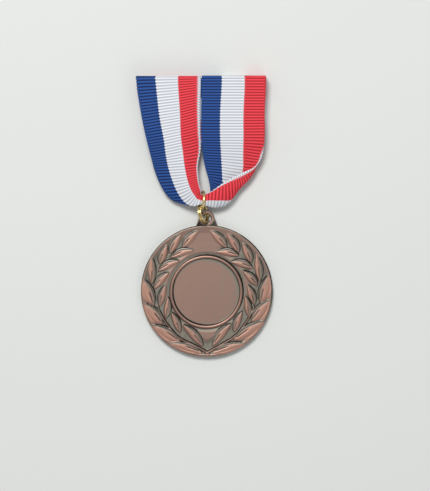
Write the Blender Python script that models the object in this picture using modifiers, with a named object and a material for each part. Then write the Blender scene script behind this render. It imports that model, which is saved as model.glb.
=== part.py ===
"""Award medal on a striped neck ribbon, lying on its back with the ribbon folded away.

Metres, +Z out of the medal's face, +Y from the medal towards the ribbon, +X to the right.
The origin is on the back of the disc, at its centre; everything rests on the plane z = 0.
"""
import math

import bmesh
import bpy
from mathutils import Vector

MM = 0.001

# Disc: a turned casting. All radii and heights are of the finished casting.
DISC_RADIUS = 25.0 * MM
DISC_THICKNESS = 3.2 * MM
RIM_BEVEL = 0.6 * MM
BACK_BEVEL = 0.25 * MM
FIELD_HEIGHT = 2.65 * MM
RIM_HEIGHT = 2.95 * MM
RECESS_RADIUS = 12.5 * MM
RECESS_HEIGHT = 2.45 * MM
RING_INNER_RADIUS = 12.8 * MM
RING_OUTER_RADIUS = 13.8 * MM
DISC_STEPS = 96

MERGE_DISTANCE = 0.01 * MM

# Laurel relief, in millimetres: base x, base y, tip x, tip y, width. The two branches differ
# a little, as if modelled by hand.
LEAVES_LEFT = (
    (-9.3, 16.4, -3.3, 22.6, 3.4),
    (-14.0, 14.5, -9.7, 21.5, 3.4),
    (-17.9, 10.2, -14.9, 17.2, 3.4),
    (-20.6, 2.5, -20.2, 12.6, 3.4),
    (-20.2, -5.4, -23.1, 4.0, 3.0),
    (-17.0, -12.3, -22.8, -5.2, 3.2),
    (-10.4, -18.9, -19.6, -12.9, 3.2),
    (-2.6, -22.8, -13.4, -19.6, 2.2),
    (-13.6, 12.9, -6.2, 15.3, 3.0),
    (-18.3, 7.6, -11.0, 11.2, 3.0),
    (-20.0, 1.0, -15.0, 6.7, 3.0),
    (-18.1, -5.8, -16.3, 1.8, 2.8),
    (-15.5, -10.3, -15.3, -2.8, 2.8),
    (-10.0, -15.7, -13.0, -9.0, 2.8),
    (-1.8, -20.6, -8.9, -14.2, 3.0),
)
LEAVES_RIGHT = (
    (7.5, 16.5, 1.6, 22.6, 3.4),
    (12.1, 14.8, 7.8, 21.7, 3.4),
    (17.0, 10.9, 13.6, 18.0, 3.4),
    (20.1, 3.4, 18.9, 13.6, 3.4),
    (20.3, -4.6, 22.4, 4.9, 3.0),
    (17.0, -11.7, 22.9, -4.4, 3.2),
    (10.3, -18.6, 20.3, -11.9, 3.2),
    (2.9, -23.0, 13.5, -19.9, 2.2),
    (12.1, 13.2, 4.6, 14.5, 3.0),
    (17.4, 8.6, 9.8, 10.8, 3.0),
    (19.1, 2.0, 14.1, 7.2, 3.0),
    (18.1, -5.0, 15.6, 2.0, 2.8),
    (15.8, -9.5, 14.8, -2.4, 2.8),
    (10.4, -15.5, 13.1, -8.6, 2.8),
    (2.2, -20.6, 9.0, -13.6, 3.0),
)
LEAF_RISE = 0.45 * MM

# Tab: the cast eye that the split ring hangs in.
TAB_HOLE_Y = 27.6 * MM
TAB_HOLE_RADIUS = 1.65 * MM
TAB_ARCH_RADIUS = 2.9 * MM
TAB_BASE_HALF_WIDTH = 4.25 * MM
TAB_BASE_Y = 24.3 * MM
TAB_ROOT_Y = 23.0 * MM
TAB_BOTTOM = 1.4 * MM
TAB_THICKNESS = 1.2 * MM
TAB_ROUNDING = 0.55 * MM

# Split ring: two turns of wire side by side, leaning through the tab's hole.
SPLIT_RING_RADIUS = 3.5 * MM
SPLIT_WIRE_RADIUS = 0.33 * MM
SPLIT_WIRE_OFFSET = 0.31 * MM
SPLIT_RING_CENTRE = Vector((-1.37, 29.41, 4.02)) * MM
SPLIT_RING_LEAN = math.radians(68)
SPLIT_RING_TURN = math.radians(13)
SPLIT_SECTION_DEGREES = range(-60, 181, 40)
# The ring turns through the tab's hole about its own centre.
TAB_HINGE = SPLIT_RING_CENTRE

# Jump ring: one turn of thicker wire around the gathered ribbon.
JUMP_RING_RADIUS = 3.6 * MM
JUMP_WIRE_RADIUS = 0.48 * MM
JUMP_RING_CENTRE = Vector((-1.51, 34.15, 4.1)) * MM
JUMP_RING_LEAN = math.radians(7)
JUMP_RING_TURN = math.radians(-9)
JUMP_RING_JOINT_ANGLE = math.radians(-150)
JUMP_RING_JOINT_GAP = math.radians(3)
# The ring turns through the split ring about its own centre.
LINK_HINGE = JUMP_RING_CENTRE
RING_STEPS = 48

# Ribbon.
RIBBON_WIDTH = 24.0 * MM
RIBBON_LENGTH = 800.0 * MM
RIBBON_THICKNESS = 0.26 * MM
LAYER_PITCH = 0.32 * MM
SEAM_ROOM = 0.3 * MM
TOP_LAYER = 18
SEWN_LAYER = 10
STACK_CORNER = 0.4 * MM
GROUND_GAP = 0.03 * MM
STACK_TOP_Y = 80.6 * MM
STACK_LEFT_X = -22.2 * MM
STACK_RIGHT_X = 21.2 * MM
# Where the gathered ribbon hangs in the jump ring.
GATHER_HINGE = Vector((-1.5, 34.4, 6.0)) * MM

# Rows across the visible ribbon from the left arm, through the rings, to the right arm.
# Each row runs from the blue edge to the red edge; x, y, z in millimetres.
RIBBON_ROWS = (
    ((-26.8, 81.0, 6.4), (-19.5, 81.0, 6.4), (-10.9, 81.0, 6.4), (-6.8, 81.0, 6.4), (-2.3, 81.0, 6.4)),
    ((-26.2, 76.0, 6.4), (-19.0, 76.0, 6.6), (-10.7, 76.0, 6.7), (-6.8, 76.0, 6.6), (-2.35, 76.0, 6.4)),
    ((-24.6, 67.0, 6.4), (-17.8, 67.0, 6.9), (-10.1, 67.0, 7.3), (-6.6, 67.0, 7.0), (-2.6, 67.0, 6.4)),
    ((-22.9, 58.5, 6.4), (-16.3, 58.5, 6.9), (-9.8, 58.5, 7.4), (-6.0, 58.5, 7.1), (-2.6, 58.5, 6.4)),
    ((-21.4, 52.0, 5.3), (-15.6, 52.0, 6.2), (-9.0, 52.2, 7.0), (-5.6, 52.3, 6.3), (-2.9, 52.4, 5.2)),
    ((-19.9, 46.2, 4.0), (-14.4, 46.4, 5.6), (-8.3, 46.8, 6.8), (-5.6, 47.2, 5.9), (-3.7, 47.4, 4.6)),
    ((-17.9, 41.0, 3.2), (-12.8, 41.4, 5.2), (-7.3, 42.2, 6.8), (-5.1, 42.9, 6.1), (-3.6, 43.2, 4.9)),
    ((-15.0, 36.2, 2.8), (-10.6, 36.6, 4.9), (-6.0, 38.5, 6.8), (-4.1, 39.7, 6.4), (-3.1, 40.3, 5.2)),
    ((-11.2, 33.6, 2.9), (-7.7, 33.1, 4.7), (-4.5, 36.1, 6.9), (-3.2, 37.3, 6.5), (-2.5, 38.2, 5.2)),
    ((-6.0, 34.4, 4.3), (-4.9, 32.2, 5.7), (-3.5, 34.8, 6.9), (-3.0, 36.1, 6.4), (-2.7, 37.1, 5.2)),
    ((-3.4, 34.5, 4.9), (-2.9, 32.5, 6.5), (-2.4, 34.4, 6.8), (-2.2, 35.7, 6.3), (-2.0, 36.7, 5.2)),
    ((-1.7, 34.5, 5.1), (-1.7, 32.4, 5.7), (-1.5, 34.1, 6.5), (-1.5, 35.5, 6.1), (-1.4, 36.4, 5.2)),
    ((0.6, 35.4, 4.9), (1.0, 32.0, 5.2), (1.3, 34.3, 6.5), (1.5, 36.3, 6.4), (1.6, 37.6, 5.6)),
    ((1.3, 37.6, 3.2), (3.4, 32.1, 4.1), (5.0, 34.3, 5.9), (5.4, 37.7, 6.2), (5.6, 40.4, 5.8)),
    ((1.0, 41.0, 3.0), (5.6, 36.2, 2.9), (9.6, 34.9, 4.2), (9.7, 38.9, 5.8), (9.5, 42.7, 5.6)),
    ((0.1, 44.8, 3.6), (5.9, 42.0, 3.2), (12.2, 40.4, 2.9), (14.8, 41.2, 4.2), (13.6, 44.8, 5.4)),
    ((-1.1, 49.2, 4.6), (5.6, 47.6, 4.3), (13.7, 46.0, 3.8), (18.0, 45.8, 3.9), (18.0, 46.9, 5.2)),
    ((-1.8, 53.6, 5.5), (5.4, 53.0, 5.4), (13.8, 52.0, 5.3), (18.2, 51.4, 5.0), (20.9, 51.0, 5.0)),
    ((-2.1, 58.5, 6.4), (5.1, 58.5, 6.4), (13.9, 58.5, 6.4), (18.2, 58.5, 6.4), (21.9, 58.5, 6.4)),
    ((-2.1, 67.0, 6.4), (5.1, 67.0, 6.6), (13.9, 67.0, 6.6), (18.2, 67.0, 6.5), (21.9, 67.0, 6.4)),
    ((-1.95, 76.0, 6.4), (5.6, 76.0, 6.5), (14.3, 76.0, 6.5), (18.4, 76.0, 6.4), (22.3, 76.0, 6.4)),
    ((-1.9, 81.0, 6.4), (5.8, 81.0, 6.4), (14.4, 81.0, 6.4), (18.4, 81.0, 6.4), (22.4, 81.0, 6.4)),
)
ROW_STEPS = 3
CROSS_STEPS = 2
FOLD_STEPS = 6

# Zigzag stitching that closes the neck loop.
THREAD_RADIUS = 0.1 * MM
STITCH_PITCH = 1.5 * MM
STITCH_DEPTH = 5.0 * MM


def remove_everything():
    for obj in list(bpy.data.objects):
        bpy.data.objects.remove(obj, do_unlink=True)


def new_collection(name):
    collection = bpy.data.collections.new(name)
    bpy.context.scene.collection.children.link(collection)
    return collection


def material(name, colour, roughness, metallic):
    made = bpy.data.materials.new(name)
    made.use_nodes = True
    shader = made.node_tree.nodes["Principled BSDF"]
    shader.inputs["Base Color"].default_value = (*colour, 1.0)
    shader.inputs["Roughness"].default_value = roughness
    shader.inputs["Metallic"].default_value = metallic
    return made


def add_object(name, data, collection):
    obj = bpy.data.objects.new(name, data)
    collection.objects.link(obj)
    return obj


def mesh_object(name, points, faces, collection):
    mesh = bpy.data.meshes.new(name)
    mesh.from_pydata([tuple(point) for point in points], [], faces)
    return add_object(name, mesh, collection)


def hinge_empty(name, place, parent, collection):
    """An empty on a joint's axis; what turns about that joint is parented to it."""
    empty = add_object(name, None, collection)
    empty.empty_display_size = 3 * MM
    empty.parent = parent
    origin = parent.matrix_world.translation if parent else Vector()
    empty.location = place - origin
    bpy.context.view_layer.update()
    return empty


def hang_on(obj, empty, place):
    obj.parent = empty
    obj.location = place - empty.matrix_world.translation


def finish(obj, colour_material):
    obj.data.materials.append(colour_material)
    if obj.type == "MESH":
        obj.data.shade_smooth()
        obj.data.set_sharp_from_angle(angle=math.radians(35))


def as_cutter(obj):
    obj.hide_render = True
    obj.display_type = "WIRE"


def disc_profile():
    """Radius and height along the casting's section, from the face's centre to the back's."""
    groove_radius = RING_OUTER_RADIUS + 0.35 * MM
    return (
        (0.0, RECESS_HEIGHT),
        (RECESS_RADIUS, RECESS_HEIGHT),
        (RING_INNER_RADIUS, DISC_THICKNESS - 0.1 * MM),
        ((RING_INNER_RADIUS + RING_OUTER_RADIUS) / 2, DISC_THICKNESS),
        (RING_OUTER_RADIUS, DISC_THICKNESS - 0.1 * MM),
        (groove_radius, FIELD_HEIGHT - 0.1 * MM),
        (groove_radius + 1.0 * MM, FIELD_HEIGHT),
        (DISC_RADIUS - 3.0 * MM, FIELD_HEIGHT),
        (DISC_RADIUS - RIM_BEVEL - 0.6 * MM, RIM_HEIGHT),
        (DISC_RADIUS - RIM_BEVEL, RIM_HEIGHT - 0.05 * MM),
        (DISC_RADIUS, RIM_HEIGHT - RIM_BEVEL),
        (DISC_RADIUS, BACK_BEVEL),
        (DISC_RADIUS - BACK_BEVEL, 0.0),
        (0.0, 0.0),
    )


def disc(collection):
    profile = disc_profile()
    points = [(radius, 0.0, height) for radius, height in profile]
    edges = [(k, k + 1) for k in range(len(points) - 1)]
    mesh = bpy.data.meshes.new("medal")
    mesh.from_pydata(points, edges, [])
    obj = add_object("medal", mesh, collection)
    screw = obj.modifiers.new("turn", "SCREW")
    screw.axis = "Z"
    screw.steps = DISC_STEPS
    screw.render_steps = DISC_STEPS
    screw.use_merge_vertices = True
    screw.merge_threshold = MERGE_DISTANCE
    screw.use_normal_calculate = True
    return obj


def tab_outline():
    """The tab's outer edge: an arch around the hole, and shoulders that flare to the disc."""
    points = [(-TAB_BASE_HALF_WIDTH, TAB_ROOT_Y), (-TAB_BASE_HALF_WIDTH, TAB_BASE_Y)]
    for degrees in range(170, 0, -10):
        angle = math.radians(degrees)
        points.append(
            (TAB_ARCH_RADIUS * math.cos(angle), TAB_HOLE_Y + TAB_ARCH_RADIUS * math.sin(angle))
        )
    points += [(TAB_BASE_HALF_WIDTH, TAB_BASE_Y), (TAB_BASE_HALF_WIDTH, TAB_ROOT_Y)]
    return points


def circle_points(centre_x, centre_y, radius, count):
    turn = [2 * math.pi * k / count for k in range(count)]
    return [(centre_x + radius * math.cos(a), centre_y + radius * math.sin(a)) for a in turn]


def add_outline(curve, points):
    spline = curve.splines.new("POLY")
    spline.points.add(len(points) - 1)
    for point, place in zip(spline.points, points):
        point.co = (place[0], place[1], 0.0, 1.0)
    spline.use_cyclic_u = True


def curve_as_mesh(obj, collection):
    """The curve's own shape as a welded mesh object, in the same place; the curve goes."""
    bpy.context.view_layer.update()
    evaluated = obj.evaluated_get(bpy.context.evaluated_depsgraph_get())
    mesh = bpy.data.meshes.new_from_object(evaluated)
    weld(mesh)
    made = add_object(obj.name + "_solid", mesh, collection)
    made.matrix_world = obj.matrix_world.copy()
    bpy.data.objects.remove(obj, do_unlink=True)
    return made


def weld(mesh):
    work = bmesh.new()
    work.from_mesh(mesh)
    bmesh.ops.remove_doubles(work, verts=work.verts, dist=MERGE_DISTANCE / 10)
    bmesh.ops.recalc_face_normals(work, faces=work.faces)
    work.to_mesh(mesh)
    work.free()


def tab(collection):
    curve = bpy.data.curves.new("tab", "CURVE")
    curve.dimensions = "2D"
    curve.fill_mode = "BOTH"
    curve.extrude = TAB_THICKNESS / 2 - TAB_ROUNDING
    curve.bevel_depth = TAB_ROUNDING
    curve.bevel_resolution = 2
    curve.offset = -TAB_ROUNDING
    add_outline(curve, tab_outline())
    add_outline(curve, circle_points(0.0, TAB_HOLE_Y, TAB_HOLE_RADIUS, 24))
    obj = add_object("tab", curve, collection)
    obj.location.z = TAB_BOTTOM + TAB_THICKNESS / 2
    return curve_as_mesh(obj, collection)


def leaf(index, side, row, collection):
    """One leaf of the relief: a pointed pillow, half sunk in the field."""
    base_x, base_y, tip_x, tip_y, width = (value * MM for value in row)
    along = Vector((tip_x - base_x, tip_y - base_y))
    work = bmesh.new()
    bmesh.ops.create_uvsphere(work, u_segments=6, v_segments=5, radius=1.0)
    bmesh.ops.scale(work, verts=work.verts, vec=(along.length / 2, width / 2, LEAF_RISE))
    mesh = bpy.data.meshes.new("leaf")
    work.to_mesh(mesh)
    work.free()
    obj = add_object("leaf_%s_%02d" % (side, index), mesh, collection)
    obj.location = ((base_x + tip_x) / 2, (base_y + tip_y) / 2, FIELD_HEIGHT)
    obj.rotation_euler = (0.0, 0.0, math.atan2(along.y, along.x))
    as_cutter(obj)
    return obj


def medal(collection, cutters):
    """Disc, tab and relief joined into one casting."""
    casting = disc(collection)
    eye = tab(cutters)
    as_cutter(eye)
    join = casting.modifiers.new("tab", "BOOLEAN")
    join.operation = "UNION"
    join.solver = "EXACT"
    join.object = eye
    relief = bpy.data.collections.new("relief")
    cutters.children.link(relief)
    for side, leaves in (("left", LEAVES_LEFT), ("right", LEAVES_RIGHT)):
        for index, row in enumerate(leaves):
            leaf(index, side, row, relief)
    raise_leaves = casting.modifiers.new("relief", "BOOLEAN")
    raise_leaves.operation = "UNION"
    raise_leaves.solver = "EXACT"
    raise_leaves.operand_type = "COLLECTION"
    raise_leaves.collection = relief
    return casting


def split_ring(collection):
    """A ring whose section is two wires side by side, with a valley where they touch."""
    section = []
    for side in (1.0, -1.0):
        for degrees in SPLIT_SECTION_DEGREES:
            angle = math.radians(degrees if side > 0 else 180 + degrees)
            radius = SPLIT_RING_RADIUS + SPLIT_WIRE_RADIUS * math.cos(angle)
            height = side * SPLIT_WIRE_OFFSET + SPLIT_WIRE_RADIUS * math.sin(angle)
            section.append((radius, height))
    section = [point for point in section if abs(point[1]) > 0.05 * MM]
    angles = [math.atan2(z, r - SPLIT_RING_RADIUS) for r, z in section]
    section = [point for _, point in sorted(zip(angles, section), reverse=True)]
    points = [(radius, 0.0, height) for radius, height in section]
    edges = [(k, (k + 1) % len(points)) for k in range(len(points))]
    mesh = bpy.data.meshes.new("split_ring")
    mesh.from_pydata(points, edges, [])
    obj = add_object("split_ring", mesh, collection)
    screw = obj.modifiers.new("turn", "SCREW")
    screw.axis = "Z"
    screw.steps = RING_STEPS
    screw.render_steps = RING_STEPS
    screw.use_merge_vertices = True
    screw.merge_threshold = MERGE_DISTANCE
    screw.use_normal_calculate = True
    obj.rotation_euler = (0.0, SPLIT_RING_LEAN, SPLIT_RING_TURN)
    return obj


def jump_ring(collection):
    """One turn of round wire, cut where it was opened; the cut faces the ribbon's underside."""
    curve = bpy.data.curves.new("jump_ring", "CURVE")
    curve.dimensions = "3D"
    curve.bevel_depth = JUMP_WIRE_RADIUS
    curve.bevel_resolution = 2
    curve.use_fill_caps = True
    start = JUMP_RING_JOINT_ANGLE + JUMP_RING_JOINT_GAP / 2
    sweep = 2 * math.pi - JUMP_RING_JOINT_GAP
    spline = curve.splines.new("POLY")
    spline.points.add(RING_STEPS)
    for k, point in enumerate(spline.points):
        angle = start + sweep * k / RING_STEPS
        y = JUMP_RING_RADIUS * math.cos(angle)
        z = JUMP_RING_RADIUS * math.sin(angle)
        point.co = (0.0, y, z, 1.0)
    made = curve_as_mesh(add_object("jump_ring", curve, collection), collection)
    made.name = "jump_ring"
    made.rotation_euler = (0.0, JUMP_RING_LEAN, JUMP_RING_TURN)
    return made


def smooth_between(points, steps):
    """Points on a Catmull-Rom curve through the given points, steps to each stretch."""
    first = points[0] * 2 - points[1]
    last = points[-1] * 2 - points[-2]
    padded = [first, *points, last]
    made = []
    for k in range(len(points) - 1):
        a, b, c, d = padded[k:k + 4]
        for step in range(steps):
            t = step / steps
            made.append(
                0.5 * (2 * b + (c - a) * t + (2 * a - 5 * b + 4 * c - d) * t ** 2
                       + (3 * b - a - 3 * c + d) * t ** 3)
            )
    made.append(points[-1])
    return made


def visible_rows():
    """Rows of points across the visible ribbon, from blue edge to red edge."""
    rows = [[Vector(point) * MM for point in row] for row in RIBBON_ROWS]
    lines = [smooth_between(list(line), ROW_STEPS) for line in zip(*rows)]
    return [smooth_between(list(row), CROSS_STEPS) for row in zip(*lines)]


class FlatStrip:
    """A strip laid and folded by hand: each ruling is a blue-edge and a red-edge point."""

    def __init__(self, blue, red, heading):
        self.blue = blue
        self.red = red
        self.heading = heading
        self.rulings = []
        self.length = 0.0

    def mark(self):
        self.rulings.append((self.blue.copy(), self.red.copy()))

    def run(self, distance):
        """Straight on, both edges by the same distance."""
        self.blue = self.blue + self.heading * distance
        self.red = self.red + self.heading * distance
        self.length += abs(distance)
        self.mark()

    def square_up(self):
        """Bring the edge that lags behind level with the other, across the heading."""
        lag = (self.blue - self.red).dot(self.heading)
        if lag > 0:
            self.red = self.red + self.heading * lag
        else:
            self.blue = self.blue - self.heading * lag
        self.length += abs(lag) / 2
        self.mark()

    def slant(self, fold_line):
        """Run one edge on until the ruling lies along the fold line."""
        across = self.red - self.blue
        want = fold_line * (across.length / abs(fold_line.dot(across.normalized())))
        if want.dot(across) < 0:
            want = -want
        step = want - across
        if step.dot(self.heading) > 0:
            self.red = self.red + step
        else:
            self.blue = self.blue - step
        self.length += step.length / 2
        self.mark()

    def fold(self, rise):
        """Half a turn about the present ruling, up or down by rise; the heading reflects."""
        across = (self.red - self.blue).normalized()
        forward = self.heading - across * self.heading.dot(across)
        forward.normalize()
        radius = abs(rise) / 2
        blue, red = self.blue.copy(), self.red.copy()
        for step in range(1, FOLD_STEPS + 1):
            angle = math.pi * step / FOLD_STEPS
            shift = forward * (radius * math.sin(angle))
            shift.z += math.copysign(radius * (1 - math.cos(angle)), rise)
            self.blue = blue + shift
            self.red = red + shift
            self.mark()
        self.length += math.pi * radius
        self.heading = self.heading - forward * (2 * self.heading.dot(forward))

    def drop(self, rise):
        """Around the edge of the stack in two quarter turns with a straight fall between."""
        corner = STACK_CORNER
        forward = self.heading.copy()
        down = math.copysign(1.0, rise)
        blue, red = self.blue.copy(), self.red.copy()
        path = []
        for step in range(1, FOLD_STEPS + 1):
            angle = math.pi / 2 * step / FOLD_STEPS
            path.append((corner * math.sin(angle), corner * (1 - math.cos(angle))))
        for step in range(FOLD_STEPS + 1):
            angle = math.pi / 2 * step / FOLD_STEPS
            path.append((corner * math.cos(angle), abs(rise) - corner * (1 - math.sin(angle))))
        for out, fall in path:
            shift = forward * out + Vector((0.0, 0.0, down * fall))
            self.blue = blue + shift
            self.red = red + shift
            self.mark()
        self.length += math.pi * corner + abs(rise) - 2 * corner
        self.heading = -forward


def layer_height(layer):
    """Middle of a folded layer above the ground, layer 1 lowest, with room above the seam."""
    room = SEAM_ROOM if layer > SEWN_LAYER else 0.0
    return RIBBON_THICKNESS / 2 + GROUND_GAP + (layer - 1) * LAYER_PITCH + room


def folded_runs(strip, layer, step, last_layer, remaining):
    """Runs from one side of the stack to the other, a fold between, until the length is used."""
    while True:
        going_right = strip.heading.x > 0
        wall = STACK_RIGHT_X if going_right else STACK_LEFT_X
        room = abs(wall - strip.blue.x)
        if layer == last_layer or remaining - strip.length <= room:
            strip.run(min(room, max(remaining - strip.length, STITCH_DEPTH)))
            return
        strip.run(room)
        strip.fold(layer_height(layer + step) - layer_height(layer))
        layer += step


def tucked_strip(edge_row, layers, side, remaining):
    """The unseen length of one arm: over the top edge, then to and fro under both arms.

    It goes from the first of the two layers to the last, turning first towards side, which is
    1 for the right and -1 for the left."""
    first_layer, last_layer = layers
    step = 1 if last_layer > first_layer else -1
    strip = FlatStrip(edge_row[0].copy(), edge_row[-1].copy(), Vector((0.0, 1.0, 0.0)))
    rise = layer_height(first_layer) - strip.blue.z
    if abs(rise) > 2 * STACK_CORNER:
        strip.drop(rise)
    else:
        strip.fold(rise)
    strip.run(strip.blue.y - STACK_TOP_Y)
    strip.slant(Vector((side, -1.0, 0.0)).normalized())
    strip.fold(layer_height(first_layer + step) - layer_height(first_layer))
    strip.square_up()
    folded_runs(strip, first_layer + step, step, last_layer, remaining)
    return strip


def middle_length(rows):
    middles = [row[len(row) // 2] for row in rows]
    return sum((b - a).length for a, b in zip(middles, middles[1:]))


def ruled_row(blue, red, count):
    return [blue.lerp(red, k / (count - 1)) for k in range(count)]


def ribbon_rows():
    """All rows of the ribbon from one sewn end to the other, and the left tucked strip."""
    rows = visible_rows()
    count = len(rows[0])
    hidden = (RIBBON_LENGTH - middle_length(rows)) / 2
    left = tucked_strip(rows[0], (TOP_LAYER, SEWN_LAYER), 1, hidden)
    right = tucked_strip(rows[-1], (1, SEWN_LAYER - 1), -1, hidden)
    left_rows = [ruled_row(blue, red, count) for blue, red in reversed(left.rulings)]
    right_rows = [ruled_row(blue, red, count) for blue, red in right.rulings]
    return left_rows + rows + right_rows, left


def ribbon(rows, collection):
    count = len(rows[0])
    points = [point - GATHER_HINGE for row in rows for point in row]
    faces = []
    for k in range(len(rows) - 1):
        for j in range(count - 1):
            a = k * count + j
            faces.append((a, a + 1, a + 1 + count, a + count))
    obj = mesh_object("ribbon", points, faces, collection)
    shell = obj.modifiers.new("cloth thickness", "SOLIDIFY")
    shell.thickness = RIBBON_THICKNESS
    shell.offset = 0.0
    return obj


def seam_stitching(left, collection):
    """One zigzag of thread on the sewn end, across the ribbon."""
    blue, red = left.rulings[-1]
    back = -left.heading
    across = (red - blue).normalized()
    lift = Vector((0.0, 0.0, RIBBON_THICKNESS / 2 + THREAD_RADIUS + 0.04 * MM))
    start = blue + across * STITCH_PITCH + back * STITCH_PITCH + lift
    count = int((RIBBON_WIDTH - 2 * STITCH_PITCH) / STITCH_PITCH)
    curve = bpy.data.curves.new("seam_stitching", "CURVE")
    curve.dimensions = "3D"
    curve.bevel_depth = THREAD_RADIUS
    curve.bevel_resolution = 1
    curve.use_fill_caps = True
    spline = curve.splines.new("POLY")
    spline.points.add(count)
    for k, point in enumerate(spline.points):
        place = start + across * (k * STITCH_PITCH) + back * (STITCH_DEPTH * (k % 2))
        point.co = (*(place - GATHER_HINGE), 1.0)
    return add_object("seam_stitching", curve, collection)


def build():
    remove_everything()
    parts = new_collection("medal_on_ribbon")
    cutters = new_collection("cutters")
    copper = material("antique_copper", (0.30, 0.19, 0.15), 0.45, 1.0)
    gilt = material("gilt_wire", (0.80, 0.62, 0.25), 0.25, 1.0)
    cloth = material("striped_ribbon", (0.75, 0.76, 0.80), 0.85, 0.0)
    thread = material("seam_thread", (0.85, 0.85, 0.85), 0.9, 0.0)

    casting = medal(parts, cutters)
    finish(casting, copper)

    tab_hinge = hinge_empty("tab_hinge", TAB_HINGE, None, parts)
    doubled = split_ring(parts)
    hang_on(doubled, tab_hinge, SPLIT_RING_CENTRE)
    finish(doubled, gilt)

    link_hinge = hinge_empty("link_hinge", LINK_HINGE, tab_hinge, parts)
    single = jump_ring(parts)
    hang_on(single, link_hinge, JUMP_RING_CENTRE)
    finish(single, gilt)

    gather_hinge = hinge_empty("gather_hinge", GATHER_HINGE, link_hinge, parts)
    rows, left = ribbon_rows()
    strip = ribbon(rows, parts)
    hang_on(strip, gather_hinge, GATHER_HINGE)
    finish(strip, cloth)
    stitches = seam_stitching(left, parts)
    hang_on(stitches, gather_hinge, GATHER_HINGE)
    finish(stitches, thread)


build()
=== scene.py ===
"""The looks of a cast award medal on a striped neck ribbon.

Run as a script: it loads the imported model, lays a finely made piece over each of its solids,
gives every piece its finish, and sets a plain studio around them.
Lengths in this file are in millimetres unless a comment says otherwise, and become metres when
a mesh is made. +Z is out of the medal's face and +Y runs from the medal to the ribbon.
"""

import math

import bpy
import numpy as np
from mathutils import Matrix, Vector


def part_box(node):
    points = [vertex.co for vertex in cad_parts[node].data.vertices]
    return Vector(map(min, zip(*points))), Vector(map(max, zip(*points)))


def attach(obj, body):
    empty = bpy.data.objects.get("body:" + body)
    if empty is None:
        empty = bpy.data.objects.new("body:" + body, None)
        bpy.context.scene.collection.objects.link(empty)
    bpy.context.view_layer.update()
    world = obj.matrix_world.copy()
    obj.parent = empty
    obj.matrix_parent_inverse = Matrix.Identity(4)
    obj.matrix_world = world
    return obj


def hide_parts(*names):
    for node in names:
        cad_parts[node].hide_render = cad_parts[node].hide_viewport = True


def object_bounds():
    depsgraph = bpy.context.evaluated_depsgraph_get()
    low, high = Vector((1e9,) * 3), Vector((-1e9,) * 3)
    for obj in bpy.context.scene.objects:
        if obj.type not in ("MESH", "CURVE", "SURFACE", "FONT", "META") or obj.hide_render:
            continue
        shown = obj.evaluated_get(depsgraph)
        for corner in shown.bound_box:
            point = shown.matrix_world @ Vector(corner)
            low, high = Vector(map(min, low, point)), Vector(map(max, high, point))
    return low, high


bl_info = {
    "name": "Award medal",
    "version": (1, 0, 0),
    "blender": (4, 5, 0),
    "location": "3D View > Sidebar > Medal",
    "description": "Fine surfaces and finishes for a cast medal on a neck ribbon",
    "category": "Object",
}

MM = 0.001

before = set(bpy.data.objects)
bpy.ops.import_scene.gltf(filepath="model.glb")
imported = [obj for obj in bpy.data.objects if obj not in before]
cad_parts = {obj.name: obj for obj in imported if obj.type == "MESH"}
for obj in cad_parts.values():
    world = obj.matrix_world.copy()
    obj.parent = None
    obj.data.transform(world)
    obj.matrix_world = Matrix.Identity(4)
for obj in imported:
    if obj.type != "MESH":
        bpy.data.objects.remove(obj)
CAD_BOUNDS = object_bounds()
DISC_RADIUS = -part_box("medal")[0].y / MM

# ---------------------------------------------------------------------------------------------
# The design: the places and sizes that the pieces share


# Levels of the casting's face above its back.
RECESS_RADIUS = 12.5
RECESS_LEVEL = 2.45
FIELD_LEVEL = 2.65
RING_INNER = 12.75
RING_OUTER = 13.95
RING_TOP = 3.07
EDGE_TOP = 2.86
EDGE_ROUNDING = 0.6
BACK_ROUNDING = 0.25
# The turned face as (radius, level): the recess, the raised ring, the groove round it, the
# field, the rim and, past the disc, its level carried on.
FACE_PROFILE = (
    (0.0, RECESS_LEVEL), (RECESS_RADIUS, RECESS_LEVEL), (RING_INNER, 2.80), (12.95, 2.99),
    (13.3, RING_TOP), (13.65, 2.99), (13.85, 2.80), (14.1, 2.46), (14.5, 2.50),
    (15.3, FIELD_LEVEL - 0.05), (20.0, FIELD_LEVEL), (22.0, FIELD_LEVEL + 0.03),
    (23.4, EDGE_TOP - 0.07), (24.3, EDGE_TOP), (40.0, EDGE_TOP),
)
# The recess and its ring sit a little off the blank's middle; the rim, past this radius, does not.
FACE_SHIFT = (-0.2, -0.4)
SHIFTED_WITHIN = 18.0

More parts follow.
